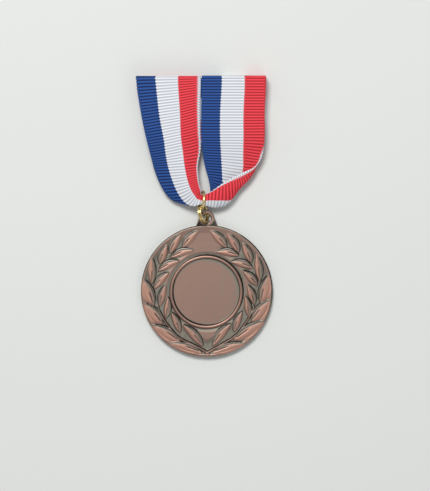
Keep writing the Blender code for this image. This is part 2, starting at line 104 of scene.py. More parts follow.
# Leaves of both branches: base x, base y, tip x, tip y, width, bow towards the upper side, and
# how much wider the lower side is (the lowest outer leaves run off the disc's edge).
LEAVES = (
    (-9.3, 16.4, -3.1, 22.9, 3.5, 0.5, 1.0),
    (-14.1, 14.3, -9.7, 21.8, 3.4, 0.4, 1.0),
    (-17.9, 10.2, -15.0, 17.6, 3.3, 0.3, 1.0),
    (-20.9, 2.4, -20.9, 13.2, 3.0, 0.2, 1.0),
    (-20.2, -5.7, -24.3, 4.7, 3.6, 0.5, 1.7),
    (-16.8, -12.6, -24.0, -4.8, 3.7, 0.6, 1.7),
    (-10.0, -19.3, -21.2, -12.9, 3.5, 0.6, 1.7),
    (-1.8, -23.5, -14.8, -19.8, 2.6, 0.7, 1.7),
    (-13.8, 12.6, -4.9, 15.4, 2.9, 0.75, 1.0),
    (-18.5, 7.5, -10.3, 11.4, 2.9, 0.65, 1.0),
    (-20.1, 0.8, -14.3, 7.0, 3.1, 0.45, 1.0),
    (-17.9, -5.8, -15.6, 2.3, 3.0, 0.35, 1.0),
    (-15.6, -10.5, -14.7, -2.4, 2.8, 0.35, 1.0),
    (-10.1, -15.9, -13.5, -8.1, 2.9, 0.4, 1.0),
    (-1.4, -21.1, -9.1, -12.9, 3.4, 0.6, 1.0),
    (7.6, 16.3, 1.2, 22.9, 3.5, 0.5, 1.0),
    (12.2, 14.6, 7.6, 22.0, 3.4, 0.4, 1.0),
    (17.0, 10.7, 13.4, 18.3, 3.3, 0.3, 1.0),
    (20.1, 3.6, 18.8, 14.2, 3.2, 0.3, 1.0),
    (20.4, -4.6, 23.6, 6.1, 3.7, 0.5, 1.7),
    (16.9, -11.7, 24.2, -3.5, 3.7, 0.6, 1.7),
    (10.1, -18.7, 22.3, -11.4, 3.6, 0.6, 1.7),
    (2.1, -23.5, 14.8, -19.9, 2.6, 0.7, 1.7),
    (12.2, 13.3, 3.5, 14.7, 2.9, 0.75, 1.0),
    (17.5, 8.6, 8.9, 11.0, 2.9, 0.65, 1.0),
    (19.2, 2.0, 13.6, 7.6, 3.1, 0.45, 1.0),
    (18.2, -5.2, 15.3, 2.4, 3.0, 0.35, 1.0),
    (15.9, -9.7, 14.6, -1.9, 2.8, 0.35, 1.0),
    (10.3, -15.6, 13.4, -7.8, 2.9, 0.4, 1.0),
    (2.1, -20.9, 9.3, -12.4, 3.4, 0.6, 1.0),
)
LEAF_RISE = 0.5
# A leaf's outline: how early along it is widest, and how full its ends are.
LEAF_EARLY = 0.92
LEAF_FULLNESS = 0.82
# Which way a leaf's high side faces; painted shade makes that side dark.
UPPER_SIDE = (0.15, 0.99)
# Across a leaf from its lower edge (-1) to its upper edge (1): height, and tone with painted
# light towards the lower side and painted shade towards the upper side.
LEAF_ACROSS = (-1.0, -0.85, -0.5, -0.15, 0.15, 0.42, 0.60, 0.74, 0.86, 0.95, 1.0)
LEAF_HEIGHT = (0.1, 0.42, 0.66, 0.70, 0.60, 0.50, 0.46, 0.72, 1.0, 0.9, 0.0)
LEAF_POLISH_AND_SHADING = (0.62, 0.84, 0.93, 0.86, 0.72, 0.50, 0.14, 0.34, 0.42, 0.04, 0.0)
# The short cut of the midrib: half width, depth, and where along the leaf it comes and goes.
CUT_HALF = 0.19
CUT_DEPTH = 0.3
CUT_COMES = (0.08, 0.14)
CUT_GOES = (0.52, 0.42)
# The painted highlight near the upper edge: its place across the leaf, its half width, and
# which way a leaf has to face for it to shine.
HIGHLIGHT_ACROSS = 0.83
HIGHLIGHT_HALF = 0.09
LIT_SIDE = (-0.2, 0.98)

# Stems, from the crossing at the bottom up to the highest leaves.
STEMS = (
    ((0.9, -23.8), (0.2, -23.4), (-4.8, -20.7), (-10.4, -17.9), (-14.6, -13.4), (-17.2, -9.3),
     (-18.7, -5.6), (-20.2, 0.5), (-18.8, 7.4), (-14.9, 12.9), (-10.8, 16.2)),
    ((-0.5, -23.8), (0.2, -23.4), (5.2, -20.6), (10.4, -17.4), (14.6, -12.4), (16.9, -8.4),
     (18.2, -5.0), (20.0, 1.6), (18.0, 8.4), (13.6, 13.4), (9.2, 16.4)),
)
STEM_RISE = 0.4
STEM_HALF = 0.33
# The stems sink into the ground between these shares of their length.
STEM_SINKS = (0.62, 0.5)
# The grey ground thins out between these distances from the stems, and lies this deep.
GROUND_REACH = (4.6, 2.6)
GROUND_DEPTH = 0.2
# Polish of the plain face, of the ground between the leaves, and of the ring and the stems.
BROWN_TONE = 0.47
GREY_TONE = 0.25
RAISED_TONE = 0.66

# Tab.
HOLE_Y = 27.6
HOLE_RADIUS = 1.65
ARCH_RADIUS = 2.9
TAB_BASE_HALF = 4.25
TAB_BASE_Y = 24.3
TAB_LOW = 1.4
TAB_HIGH = 2.6
TAB_ROUNDING = 0.5
# The arch runs down to this angle above level, where the straight shoulder takes over.
ARCH_END = math.radians(8)
# How far the tab runs on under the disc's edge.
TAB_ROOT = 1.2
DISH_DEPTH = 0.22
TAB_TONE = 0.41
# Painted shadow on the tab's walls.
TAB_WALL_SHADOW = 0.12

# Rings: centre, radius, lean (the split ring's from flat, the jump ring's from upright), turn
# about Z.
SPLIT_CENTRE = (-1.37, 29.41, 4.02)
SPLIT_RADIUS = 3.5
SPLIT_LEAN = math.radians(68)
SPLIT_TURN = math.radians(13)
JUMP_CENTRE = (-1.7, 34.1, 4.1)
JUMP_RADIUS = 3.55
JUMP_LEAN = math.radians(10)
JUMP_TURN = math.radians(-7)
# The split ring's wire, in degrees: where it starts, how far it winds and where along it the
# crank lies; then half the distance between its two turns, in wire radii.
SPLIT_START = 20
SPLIT_WINDING = 688
SPLIT_CRANK = (332, 360)
SPLIT_PITCH = 1.1
# The jump ring's joint, in degrees: its place and half its opening.
JUMP_JOINT = 210
JUMP_OPENING = 0.8

# Ribbon: rows from blue edge to red edge, from the left arm through the ring to the right arm.
RIBBON_ROWS = (
    ((-26.8, 81.0, 6.4), (-19.5, 81.0, 6.4), (-10.9, 81.0, 6.4), (-6.8, 81.0, 6.4), (-2.3, 81.0, 6.4)),
    ((-26.1, 74.6, 6.4), (-18.9, 75.2, 6.6), (-10.7, 76.0, 6.7), (-6.8, 76.5, 6.6), (-2.35, 77.2, 6.4)),
    ((-24.4, 64.7, 6.4), (-17.8, 65.8, 6.9), (-10.1, 67.0, 7.3), (-6.6, 67.9, 7.0), (-2.6, 69.0, 6.4)),
    ((-22.5, 56.2, 6.3), (-16.2, 57.3, 6.9), (-9.8, 58.7, 7.4), (-6.0, 59.6, 7.1), (-2.5, 60.8, 6.4)),
    ((-21.0, 50.4, 5.0), (-15.4, 51.2, 6.2), (-9.0, 52.4, 7.0), (-5.4, 53.1, 6.4), (-2.3, 54.0, 5.5)),
    ((-19.9, 46.2, 4.0), (-14.4, 46.4, 5.6), (-8.3, 46.8, 6.8), (-5.5, 47.2, 6.2), (-3.4, 47.4, 5.5)),
    ((-17.9, 41.0, 3.2), (-12.8, 41.4, 5.2), (-7.3, 42.2, 6.8), (-5.0, 42.9, 6.5), (-3.25, 43.2, 6.0)),
    ((-15.0, 36.2, 2.8), (-10.6, 36.6, 4.9), (-6.0, 38.5, 6.8), (-4.1, 39.7, 6.7), (-2.9, 40.3, 6.3)),
    ((-11.2, 33.6, 2.9), (-7.7, 33.1, 4.7), (-4.5, 36.1, 6.9), (-3.2, 37.3, 6.7), (-2.3, 38.2, 6.3)),
    ((-6.0, 34.4, 4.3), (-4.9, 32.2, 5.7), (-3.5, 34.8, 6.9), (-3.0, 36.1, 6.5), (-2.5, 37.2, 5.9)),
    ((-3.4, 34.5, 4.9), (-2.9, 32.7, 6.55), (-2.4, 34.4, 6.8), (-2.2, 35.7, 6.3), (-2.0, 36.7, 5.2)),
    ((-1.7, 34.5, 5.1), (-1.7, 32.75, 5.8), (-1.5, 34.1, 6.5), (-1.5, 35.5, 6.1), (-1.4, 36.4, 5.2)),
    ((0.6, 35.4, 4.9), (1.0, 32.0, 5.2), (1.3, 34.3, 6.5), (1.5, 36.3, 6.4), (1.6, 37.6, 5.6)),
    ((1.2, 36.8, 3.3), (3.6, 31.7, 4.0), (5.0, 34.3, 5.9), (5.4, 37.7, 6.2), (5.6, 40.4, 5.8)),
    ((1.25, 39.2, 3.0), (6.5, 33.5, 2.9), (9.6, 34.9, 4.2), (9.7, 38.9, 5.8), (9.5, 42.7, 5.6)),
    ((0.6, 42.8, 3.35), (6.0, 41.5, 3.15), (12.2, 40.4, 2.9), (14.8, 41.2, 4.2), (13.6, 44.8, 5.4)),
    ((-0.75, 47.5, 4.25), (5.7, 47.0, 4.2), (13.7, 46.0, 3.8), (18.0, 45.8, 3.9), (18.0, 46.9, 5.2)),
    ((-1.65, 52.7, 5.35), (5.4, 52.4, 5.35), (13.8, 52.0, 5.3), (18.2, 51.4, 5.0), (20.9, 51.0, 5.0)),
    ((-2.1, 58.5, 6.4), (5.1, 58.5, 6.4), (13.9, 58.5, 6.4), (18.2, 58.5, 6.4), (21.9, 58.5, 6.4)),
    ((-2.1, 67.0, 6.4), (5.1, 67.0, 6.6), (13.9, 67.0, 6.6), (18.2, 67.0, 6.5), (21.9, 67.0, 6.4)),
    ((-1.95, 76.0, 6.4), (5.6, 76.0, 6.5), (14.3, 76.0, 6.5), (18.4, 76.0, 6.4), (22.3, 76.0, 6.4)),
    ((-1.9, 81.0, 6.4), (5.8, 81.0, 6.4), (14.4, 81.0, 6.4), (18.4, 81.0, 6.4), (22.4, 81.0, 6.4)),
)
# Where the three stripes meet, and where a row's five points lie, across the flat ribbon: blue
# edge 0 and red edge 1.
STRIPE_BORDERS = (0.31, 0.66)
ROW_ACROSS = (0.0, *STRIPE_BORDERS, 0.83, 1.0)
RIBBON_WIDTH = 24.0
RIBBON_LENGTH = 800.0
# The weave: length of a rib along the ribbon, the power that fills it out, how much less than a
# pack layer's the half thickness is between ribs, rows of points to a rib, and yarns across.
RIB_PITCH = 1.07
RIB_FULLNESS = 0.55
VALLEY_DEPTH = 0.035
ROWS_PER_RIB = 6
YARNS_ACROSS = 62
# Painted shade in the valley between two ribs: how dark it is against its stripe's colour.
BLUE_VALLEY_SHADE = (0.2, 0.08, 0.14)
WHITE_VALLEY_SHADE = (0.50, 0.50, 0.53)
RED_VALLEY_SHADE = (0.38, 0.12, 0.20)
# The selvage narrows out of sight between these distances from the start of the seen stretch.
SELVAGE_GOES = (79.0, 86.0)
# How far the selvages go in and out with the ribs.
SELVAGE_WAVE = 0.24
# The folded pack under the arms: its layers, the room over the stitches, the gap to the ground,
# the bend over its edge, the least length of the last run, and the layer that holds the seam.
LAYER_PITCH = 0.32
LAYER_THICKNESS = 0.26
SEAM_ROOM = 0.3
PACK_CLEARANCE = 0.03
FOLD_CORNER = 0.4
SHORTEST_END = 5.0
LAYER_COUNT = 18
SEAM_LAYER = 10
# Where the pack's folds lie.
STACK_TOP_Y = 80.6
STACK_LEFT_X = -22.2
STACK_RIGHT_X = 21.2

# Stitching: length of a stitch along the seam, its depth, and the thread's radius.
STITCH_PITCH = 1.5
STITCH_DEPTH = 5.0
THREAD_RADIUS = 0.1

# Stage. Metres, apart from the floor's half side and drop.
FLOOR_HALF = 1200.0
FLOOR_DROP = 0.02
KEY_PLACE = (-0.14, 0.46, 0.88)
KEY_SIZE = 0.36
FILL_PLACE = (0.35, -0.6, 0.6)
FILL_SIZE = 0.6
FILL_SHARE = 0.12
SKY_COLOUR = (0.95, 0.97, 1.0, 1.0)
SKY_STRENGTH = 0.34
CAMERA_OVER = (0.00312, 0.01722)
CAMERA_DISTANCE = 1.2
VIEW_HEIGHT = 0.1867


# ---------------------------------------------------------------------------------------------
# What a user may change


class CastingSettings(bpy.types.PropertyGroup):
    """Relief and metal colours of the casting"""

    relief: bpy.props.FloatProperty(
        name="Leaf relief", description="Height of the laurel leaves above the field",
        default=LEAF_RISE * MM, min=0.0, max=0.001, unit="LENGTH", precision=5)
    # Also the colour of painted light on the leaves' lower sides and the disc's lower edge.
    bright: bpy.props.FloatVectorProperty(
        name="Rubbed copper and painted light", description="Copper where the antique finish is rubbed off, and painted light",
        default=(0.50, 0.275, 0.204), subtype="COLOR", min=0.0, max=1.0)
    body: bpy.props.FloatVectorProperty(
        name="Copper", description="Copper of the flat faces",
        default=(0.288, 0.182, 0.145), subtype="COLOR", min=0.0, max=1.0)
    # Colour of the painted highlight on the leaves' lit edges.
    painted_edge_light: bpy.props.FloatVectorProperty(
        name="Painted edge highlight", description="Painted highlight on the leaves' lit edges",
        default=(0.80, 0.76, 0.70), subtype="COLOR", min=0.0, max=1.0)
    grey: bpy.props.FloatVectorProperty(
        name="Grey patina", description="Thin antique patina on the low field",
        default=(0.215, 0.20, 0.162), subtype="COLOR", min=0.0, max=1.0)
    # Also the colour of painted shade on lee sides and walls.
    dark: bpy.props.FloatVectorProperty(
        name="Dark patina and painted shade", description="Thick antique patina in the hollows, and painted shade",
        default=(0.03, 0.02, 0.017), subtype="COLOR", min=0.0, max=1.0)


class RingSettings(bpy.types.PropertyGroup):
    """Wires and plating of the two rings"""

    split_wire: bpy.props.FloatProperty(
        name="Split ring wire", description="Wire radius of the split ring",
        default=0.35 * MM, min=0.0001, max=0.0006, unit="LENGTH", precision=5)
    jump_wire: bpy.props.FloatProperty(
        name="Jump ring wire", description="Wire radius of the jump ring",
        default=0.50 * MM, min=0.0001, max=0.0008, unit="LENGTH", precision=5)
    gilt: bpy.props.FloatVectorProperty(
        name="Gilt", description="Colour of the split ring's gold plating",
        default=(1.0, 0.80, 0.36), subtype="COLOR", min=0.0, max=1.0)


class RibbonSettings(bpy.types.PropertyGroup):
    """Weave and stripes of the ribbon"""

    rib: bpy.props.FloatProperty(
        name="Rib height", description="How far each rib stands out of the cloth",
        default=0.075 * MM, min=0.0, max=0.0002, unit="LENGTH", precision=5)
    blue: bpy.props.FloatVectorProperty(
        name="Blue stripe", description="Colour of the blue stripe",
        default=(0.028, 0.10, 0.35), subtype="COLOR", min=0.0, max=1.0)
    white: bpy.props.FloatVectorProperty(
        name="White stripe", description="Colour of the white stripe and the selvage",
        default=(0.86, 0.885, 0.92), subtype="COLOR", min=0.0, max=1.0)
    red: bpy.props.FloatVectorProperty(
        name="Red stripe", description="Colour of the red stripe",
        default=(0.92, 0.072, 0.09), subtype="COLOR", min=0.0, max=1.0)


class StageSettings(bpy.types.PropertyGroup):
    """Floor and light"""

    floor: bpy.props.FloatVectorProperty(
        name="Floor", description="Colour of the floor",
        default=(0.775, 0.785, 0.755), subtype="COLOR", min=0.0, max=1.0)
    key_power: bpy.props.FloatProperty(
        name="Key light", description="Power of the large soft light",
        default=6.9, min=0.0, unit="POWER")


# ---------------------------------------------------------------------------------------------
# Meshes from arrays


def grid_quads(rows, columns, wrap_rows=False, wrap_columns=False):
    """Corner numbers of every cell of a grid of rows x columns points."""
    row = np.arange(rows if wrap_rows else rows - 1)[:, None]
    column = np.arange(columns if wrap_columns else columns - 1)[None, :]
    next_row = (row + 1) % rows
    next_column = (column + 1) % columns
    corners = (row * columns + column, row * columns + next_column,
               next_row * columns + next_column, next_row * columns + column)
    return np.stack([np.broadcast_to(c, corners[0].shape) for c in corners], -1).reshape(-1, 4)


def pole_triangles(pole, first, columns, flip):
    """A fan from one pole point to a closed row of points that starts at first."""
    here = first + np.arange(columns)
    after = first + (np.arange(columns) + 1) % columns
    order = (after, here) if flip else (here, after)
    return np.stack([np.full(columns, pole), *order], -1)


def mesh_piece(name, points, quads, triangles=(), masks=None, uv=None):
    """A smooth mesh object at the origin, from points in millimetres."""
    mesh = bpy.data.meshes.new(name)
    faces = [*np.asarray(quads).tolist(), *np.asarray(triangles).tolist()]
    mesh.from_pydata((np.asarray(points) * MM).tolist(), [], faces)
    mesh.shade_smooth()
    for label, values in (masks or {}).items():
        layer = mesh.attributes.new(label, "FLOAT", "POINT")
        layer.data.foreach_set("value", np.asarray(values, np.float32).ravel())
    if uv is not None:
        corner_points = np.empty(len(mesh.loops), np.int32)
        mesh.loops.foreach_get("vertex_index", corner_points)
        layer = mesh.uv_layers.new(name="weave")
        layer.data.foreach_set("uv", np.asarray(uv, np.float32)[corner_points].ravel())
    obj = bpy.data.objects.new(name, mesh)
    bpy.context.scene.collection.objects.link(obj)
    return obj


def tube_points(path, radius, sides, across):
    """A round wire: each path point, plus radius times a circle square to the path.

    across is one vector, or one for each point, that is never along the path; the circle starts
    from the part of it that is square to the path."""
    along = np.gradient(path, axis=0)
    along /= np.linalg.norm(along, axis=1, keepdims=True)
    first = across - along * np.sum(along * across, axis=1, keepdims=True)
    first /= np.linalg.norm(first, axis=1, keepdims=True)
    second = np.cross(along, first)
    turn = np.linspace(0, 2 * np.pi, sides, endpoint=False)[None, :, None]
    radius = np.broadcast_to(radius, (len(path),))[:, None, None]
    ring = first[:, None] * np.cos(turn) + second[:, None] * np.sin(turn)
    return path[:, None] + radius * ring


def tube_piece(name, path, radius, sides, across, masks=None):
    """A closed wire with flat ends."""
    count = len(path)
    body = tube_points(path, radius, sides, across)
    points = np.concatenate([body.reshape(-1, 3), path[:1], path[-1:]])
    quads = grid_quads(count, sides, wrap_columns=True)
    start = pole_triangles(count * sides, 0, sides, flip=True)
    end = pole_triangles(count * sides + 1, (count - 1) * sides, sides, flip=False)
    return mesh_piece(name, points, quads[:, ::-1], np.concatenate([start, end])[:, ::-1], masks)


def placed(points, centre, lean, turn):
    """Points about the origin, leaned about Y, turned about Z and moved to the centre."""
    c, s = math.cos(lean), math.sin(lean)
    leaned = points @ np.array([[c, 0, s], [0, 1, 0], [-s, 0, c]]).T
    c, s = math.cos(turn), math.sin(turn)
    return leaned @ np.array([[c, -s, 0], [s, c, 0], [0, 0, 1]]).T + np.asarray(centre)


def catmull(knots, count_each):
    """A Catmull-Rom curve through the knots (first axis), count_each points to a stretch."""
    padded = np.concatenate([2 * knots[:1] - knots[1:2], knots, 2 * knots[-1:] - knots[-2:-1]])
    a, b, c, d = padded[:-3], padded[1:-2], padded[2:-1], padded[3:]
    t = (np.arange(count_each) / count_each).reshape(1, -1, *[1] * (knots.ndim - 1))
    a, b, c, d = (part[:, None] for part in (a, b, c, d))
    curve = 0.5 * (2 * b + (c - a) * t + (2 * a - 5 * b + 4 * c - d) * t ** 2
                   + (3 * b - a - 3 * c + d) * t ** 3)
    return np.concatenate([curve.reshape(-1, *knots.shape[1:]), knots[-1:]])


def smoothstep(low, high, value):
    """0 at low and 1 at high, with a smooth S between them; low may be the larger."""
    t = np.clip((value - low) / (high - low), 0.0, 1.0)
    return t * t * (3 - 2 * t)


def resampled(points, stations, wanted):
    """Points (first axis, at the given stations) read again at the wanted stations."""
    flat = points.reshape(len(points), -1)
    columns = [np.interp(wanted, stations, column) for column in flat.T]
    return np.stack(columns, -1).reshape(len(wanted), *points.shape[1:])


# ---------------------------------------------------------------------------------------------
# The casting's relief, worked out on a square map and read from it


MAP_STEP = 0.08
MAP_HALF = 26.0
DISC_SECTORS = 600


def blurred(values, spread):
    """The map averaged with a bell of the given spread in millimetres (a product of spectra)."""
    frequency = np.fft.fftfreq(len(values), MAP_STEP)
    bell = np.exp(-2 * (np.pi * spread * frequency) ** 2)
    spectrum = np.fft.fft2(values) * bell[:, None] * bell[None, :]
    return np.real(np.fft.ifft2(spectrum))


def level_by_radius(radius):
    """The turned face: straight lines between the points of FACE_PROFILE."""
    knots, levels = zip(*FACE_PROFILE)
    return np.interp(radius, knots, levels)


def leaf_field(x, y, row):
    """Height, tone and shine of one leaf on the map.

    Along the leaf the half width is a power of a sine of the way from base to tip, and the leaf
    bows as a parabola. Across it, height and tone follow LEAF_HEIGHT and LEAF_POLISH_AND_SHADING,
    with painted light on the lower side and painted shade on the upper side, and more painted
    shade on the upper side towards the tip. The midrib's cut is a bell across the leaf, lower and
    darker. The shine is a painted highlight, a bell near the upper edge, that shines as far as its
    side faces LIT_SIDE."""
    base_x, base_y, tip_x, tip_y, width, bow, spread = row
    length = math.hypot(tip_x - base_x, tip_y - base_y)
    along = ((tip_x - base_x) / length, (tip_y - base_y) / length)
    side = (-along[1], along[0])
    if side[0] * UPPER_SIDE[0] + side[1] * UPPER_SIDE[1] < 0:
        side = (along[1], -along[0])
    way = ((x - base_x) * along[0] + (y - base_y) * along[1]) / length
    inside = np.clip(way, 0.0, 1.0)
    off = (x - base_x) * side[0] + (y - base_y) * side[1] - bow * 4 * inside * (1 - inside)
    half = width / 2 * np.sin(np.pi * inside ** LEAF_EARLY) ** LEAF_FULLNESS + 0.001
    half = np.where(off < 0, half * spread, half)
    across = off / half
    within = (way > 0) & (way < 1) & (np.abs(across) < 1)
    ends = smoothstep(0.0, 0.16, inside) * (0.6 + 0.4 * smoothstep(1.0, 0.7, inside))
    height = np.interp(across, LEAF_ACROSS, LEAF_HEIGHT) * (0.45 + 0.55 * ends)
    polish_and_shading = np.interp(across, LEAF_ACROSS, LEAF_POLISH_AND_SHADING)
    polish_and_shading = polish_and_shading * (1.0 - 0.42 * smoothstep(0.3, 1.0, inside) * smoothstep(-0.9, 0.3, across))
    cut = np.exp(-((off + 0.05) / CUT_HALF) ** 2)
    cut = cut * smoothstep(*CUT_COMES, inside) * smoothstep(*CUT_GOES, inside)
    height = height - CUT_DEPTH * cut
    polish_and_shading = polish_and_shading * (1 - 0.95 * cut)
    facing = max(0.0, side[0] * LIT_SIDE[0] + side[1] * LIT_SIDE[1]) ** 4
    edge = np.exp(-((across - HIGHLIGHT_ACROSS) / HIGHLIGHT_HALF) ** 2) * smoothstep(0.15, 0.45, inside)
    shine = facing * edge * smoothstep(0.97, 0.8, inside) / spread ** 2
    return np.where(within, np.maximum(height, 0.02), 0.0), polish_and_shading, np.where(within, shine, 0.0)


def stem_distance(x, y, knots):
    """Distance to the stem's curve, and how far up it the nearest point is (0 to 1)."""
    route = catmull(np.array(knots), 8)
    nearest = np.full(x.shape, 1e9)
    place = np.zeros(x.shape)
    for k, ((ax, ay), (bx, by)) in enumerate(zip(route[:-1], route[1:])):
        dx, dy = bx - ax, by - ay
        t = np.clip(((x - ax) * dx + (y - ay) * dy) / (dx * dx + dy * dy), 0, 1)
        away = np.hypot(x - ax - t * dx, y - ay - t * dy)
        closer = away < nearest
        nearest = np.where(closer, away, nearest)
        place = np.where(closer, (k + t) / (len(route) - 1), place)
    return nearest, place


def stem_maps(x, y, height):
    """The face with both stems laid on it, their bright crests, and the distance to them.

    A stem is half a circle across, and sinks into the ground at its upper end."""
    crest = np.zeros(x.shape)
    nearest = np.full(x.shape, np.inf)
    for knots in STEMS:
        away, place = stem_distance(x, y, knots)
        bulge = np.sqrt(np.clip(1 - (away / STEM_HALF) ** 2, 0, 1))
        seen = smoothstep(*STEM_SINKS, place)
        stem = FIELD_LEVEL - 0.05 + STEM_RISE * (0.2 + 0.8 * seen) * bulge
        height = np.where(bulge > 0, np.maximum(height, stem), height)
        crest = np.maximum(crest, smoothstep(0.1, 0.5, bulge) * seen)
        nearest = np.minimum(nearest, away)
    return height, crest, nearest


def leaf_maps(x, y):
    """Height, tone with painted light and shade, and shine of all the leaves; where two meet, the
    higher one is seen.
    """
    tops = np.zeros(x.shape)
    tones = np.zeros(x.shape)
    shine = np.zeros(x.shape)
    for row in LEAVES:
        leaf_height, leaf_polish_and_shading, leaf_shine = leaf_field(x, y, row)
        on_top = leaf_height > tops
        tones = np.where(on_top, leaf_polish_and_shading, tones)
        shine = np.where(on_top, leaf_shine, shine)
        tops = np.maximum(tops, leaf_height)
    return tops, tones, shine


def turned_polish_and_shading(x, y, ring_radius, radius, bed, outside):
    """Tone of the turned face: brown metal, a little brighter on the recess's left.

    The ground and the groove round the ring are grey; the recess's rim takes painted grey shade,
    most at its top."""
    ring_groove = smoothstep(15.6, 14.4, ring_radius) * outside
    recess_shade = smoothstep(10.9, 12.6, ring_radius) * (1 - outside)
    recess_shade = recess_shade * (0.35 + 0.65 * smoothstep(-0.2, 0.8, (0.3 * x + 0.95 * y) / 13))
    in_recess = smoothstep(RECESS_RADIUS + 1, RECESS_RADIUS, radius)
    polish_and_shading = BROWN_TONE - 0.06 * x / RECESS_RADIUS * in_recess
    polish_and_shading = polish_and_shading + (GREY_TONE - polish_and_shading) * np.clip(np.maximum(bed, ring_groove), 0, 1)
    return polish_and_shading - 0.2 * recess_shade


def hollow_shade(polish_and_shading, height, leaves, ring_radius, radius):
    """Painted shade on the lee side: darker where the ground a step down the face stands higher.

    Narrow hollows darken with patina and painted shade; wide hollows darken the leaves only, and
    the ring's own slopes are darkened less."""
    near_ring = smoothstep(12.1, 12.5, ring_radius) * smoothstep(14.6, 14.1, ring_radius)
    ring_step = np.roll(height, (3, 3), (0, 1))
    wreath_step = np.roll(height, (1, 4), (0, 1))
    below = np.where(near_ring > 0.5, ring_step, wreath_step)
    lee = blurred(smoothstep(0.03, 0.26, below - height) * (radius < 24.6), 0.08)
    fine = blurred(height, 0.22) - height
    wide = blurred(height, 0.9) - height
    polish_and_shading = polish_and_shading - 0.8 * lee * (1 - 0.2 * near_ring)
    polish_and_shading = polish_and_shading - np.maximum(fine, 0) * (0.8 - 0.6 * near_ring)
    return polish_and_shading - 0.35 * np.maximum(wide, 0) * leaves


def rim_shade(polish_and_shading, x, y, radius):
    """The disc's edge: brighter low down, with painted shade at the upper right and a thin line of
    painted shade round its upper half."""
    painted_edge_light = smoothstep(24.3, 24.8, radius)
    turned = (0.8 * x + 0.6 * y) / np.maximum(radius, 1)
    low_half = smoothstep(8.0, -8.0, y)
    polish_and_shading = polish_and_shading + painted_edge_light * (0.3 * low_half - 0.5 * smoothstep(0.1, 0.75, turned) * (y < 21))
    return polish_and_shading - 0.38 * smoothstep(24.4, 24.8, radius) * (1 - low_half)


def face_maps(leaf_rise):
    """Maps of the face's height in millimetres, its tone with painted light and shade (0 dark,
    1 bright) and its shine.
    """
    ticks = np.arange(-MAP_HALF, MAP_HALF, MAP_STEP)
    x, y = np.meshgrid(ticks, ticks, indexing="ij")
    radius = np.hypot(x, y)
    ring_radius = np.hypot(x - FACE_SHIFT[0], y - FACE_SHIFT[1])
    turned = level_by_radius(np.where(radius < SHIFTED_WITHIN, ring_radius, radius))
    height, crest, near_stem = stem_maps(x, y, turned)
    tops, tones, shine = leaf_maps(x, y)
    leaves = tops > 0
    outside = smoothstep(RING_OUTER, RING_OUTER + 0.4, ring_radius)
    bed = smoothstep(*GROUND_REACH, near_stem) * outside * smoothstep(24.6, 23.4, radius)
    on_ring = smoothstep(RING_INNER, RING_INNER + 0.2, ring_radius)
    on_ring = on_ring * smoothstep(RING_OUTER, RING_OUTER - 0.25, ring_radius)
    polish_and_shading = turned_polish_and_shading(x, y, ring_radius, radius, bed, outside)
    polish_and_shading = polish_and_shading + (RAISED_TONE - polish_and_shading) * np.maximum(on_ring, crest)
    polish_and_shading = blurred(np.where(leaves, tones, polish_and_shading), 0.06)
    height = height - GROUND_DEPTH * bed * (~leaves) * (crest < 0.2)
    height = np.where(leaves, np.maximum(height, FIELD_LEVEL - 0.1 + leaf_rise * tops), height)
    height = blurred(height, 0.055)
    polish_and_shading = hollow_shade(polish_and_shading, height, leaves, ring_radius, radius)
    polish_and_shading = rim_shade(polish_and_shading, x, y, radius)
    return height, np.clip(polish_and_shading, 0.0, 1.2), blurred(shine, 0.05)


def read_map(values, x, y):
    """The map between its points, by the weighted mean of the four around each place."""
    u = np.clip((x + MAP_HALF) / MAP_STEP, 0, len(values) - 1.001)
    v = np.clip((y + MAP_HALF) / MAP_STEP, 0, len(values) - 1.001)
    i, j = u.astype(int), v.astype(int)
    a, b = u - i, v - j
    return (values[i, j] * (1 - a) * (1 - b) + values[i + 1, j] * a * (1 - b)
            + values[i, j + 1] * (1 - a) * b + values[i + 1, j + 1] * a * b)


def face_circles():
    """Radius of each circle of points on the face, close together round the ring, and how far
    the rounded edge (a quarter circle) brings it down."""
    middle = np.linspace(0.6, 11.7, 12)
    ring = np.linspace(11.85, 14.85, 25)
    wreath = np.linspace(15.0, DISC_RADIUS - EDGE_ROUNDING, 74)
    angle = np.linspace(0.12, 1, 7) * np.pi / 2
    edge = DISC_RADIUS - EDGE_ROUNDING * (1 - np.sin(angle))
    drop = EDGE_ROUNDING * (1 - np.cos(angle))
    flat = np.concatenate([middle, ring, wreath])
    return np.concatenate([flat, edge]), np.concatenate([np.zeros(len(flat)), drop])


def back_circles():
    """Radius, level and polish of each circle from the side wall round to the plain back."""
    angle = np.linspace(0, 1, 5) * np.pi / 2
    radius = np.concatenate([
        [DISC_RADIUS] * 3, DISC_RADIUS - BACK_ROUNDING * (1 - np.cos(angle)),
        np.linspace(DISC_RADIUS - 1.2, 1.0, 16)])
    level = np.concatenate([[1.9, 1.3, 0.8], BACK_ROUNDING * (1 - np.sin(angle)), np.zeros(16)])
    polish_and_shading = np.concatenate([[0.2, 0.16, 0.2], np.linspace(0.3, 0.55, 5), np.full(16, 0.46)])
    return radius, level, polish_and_shading


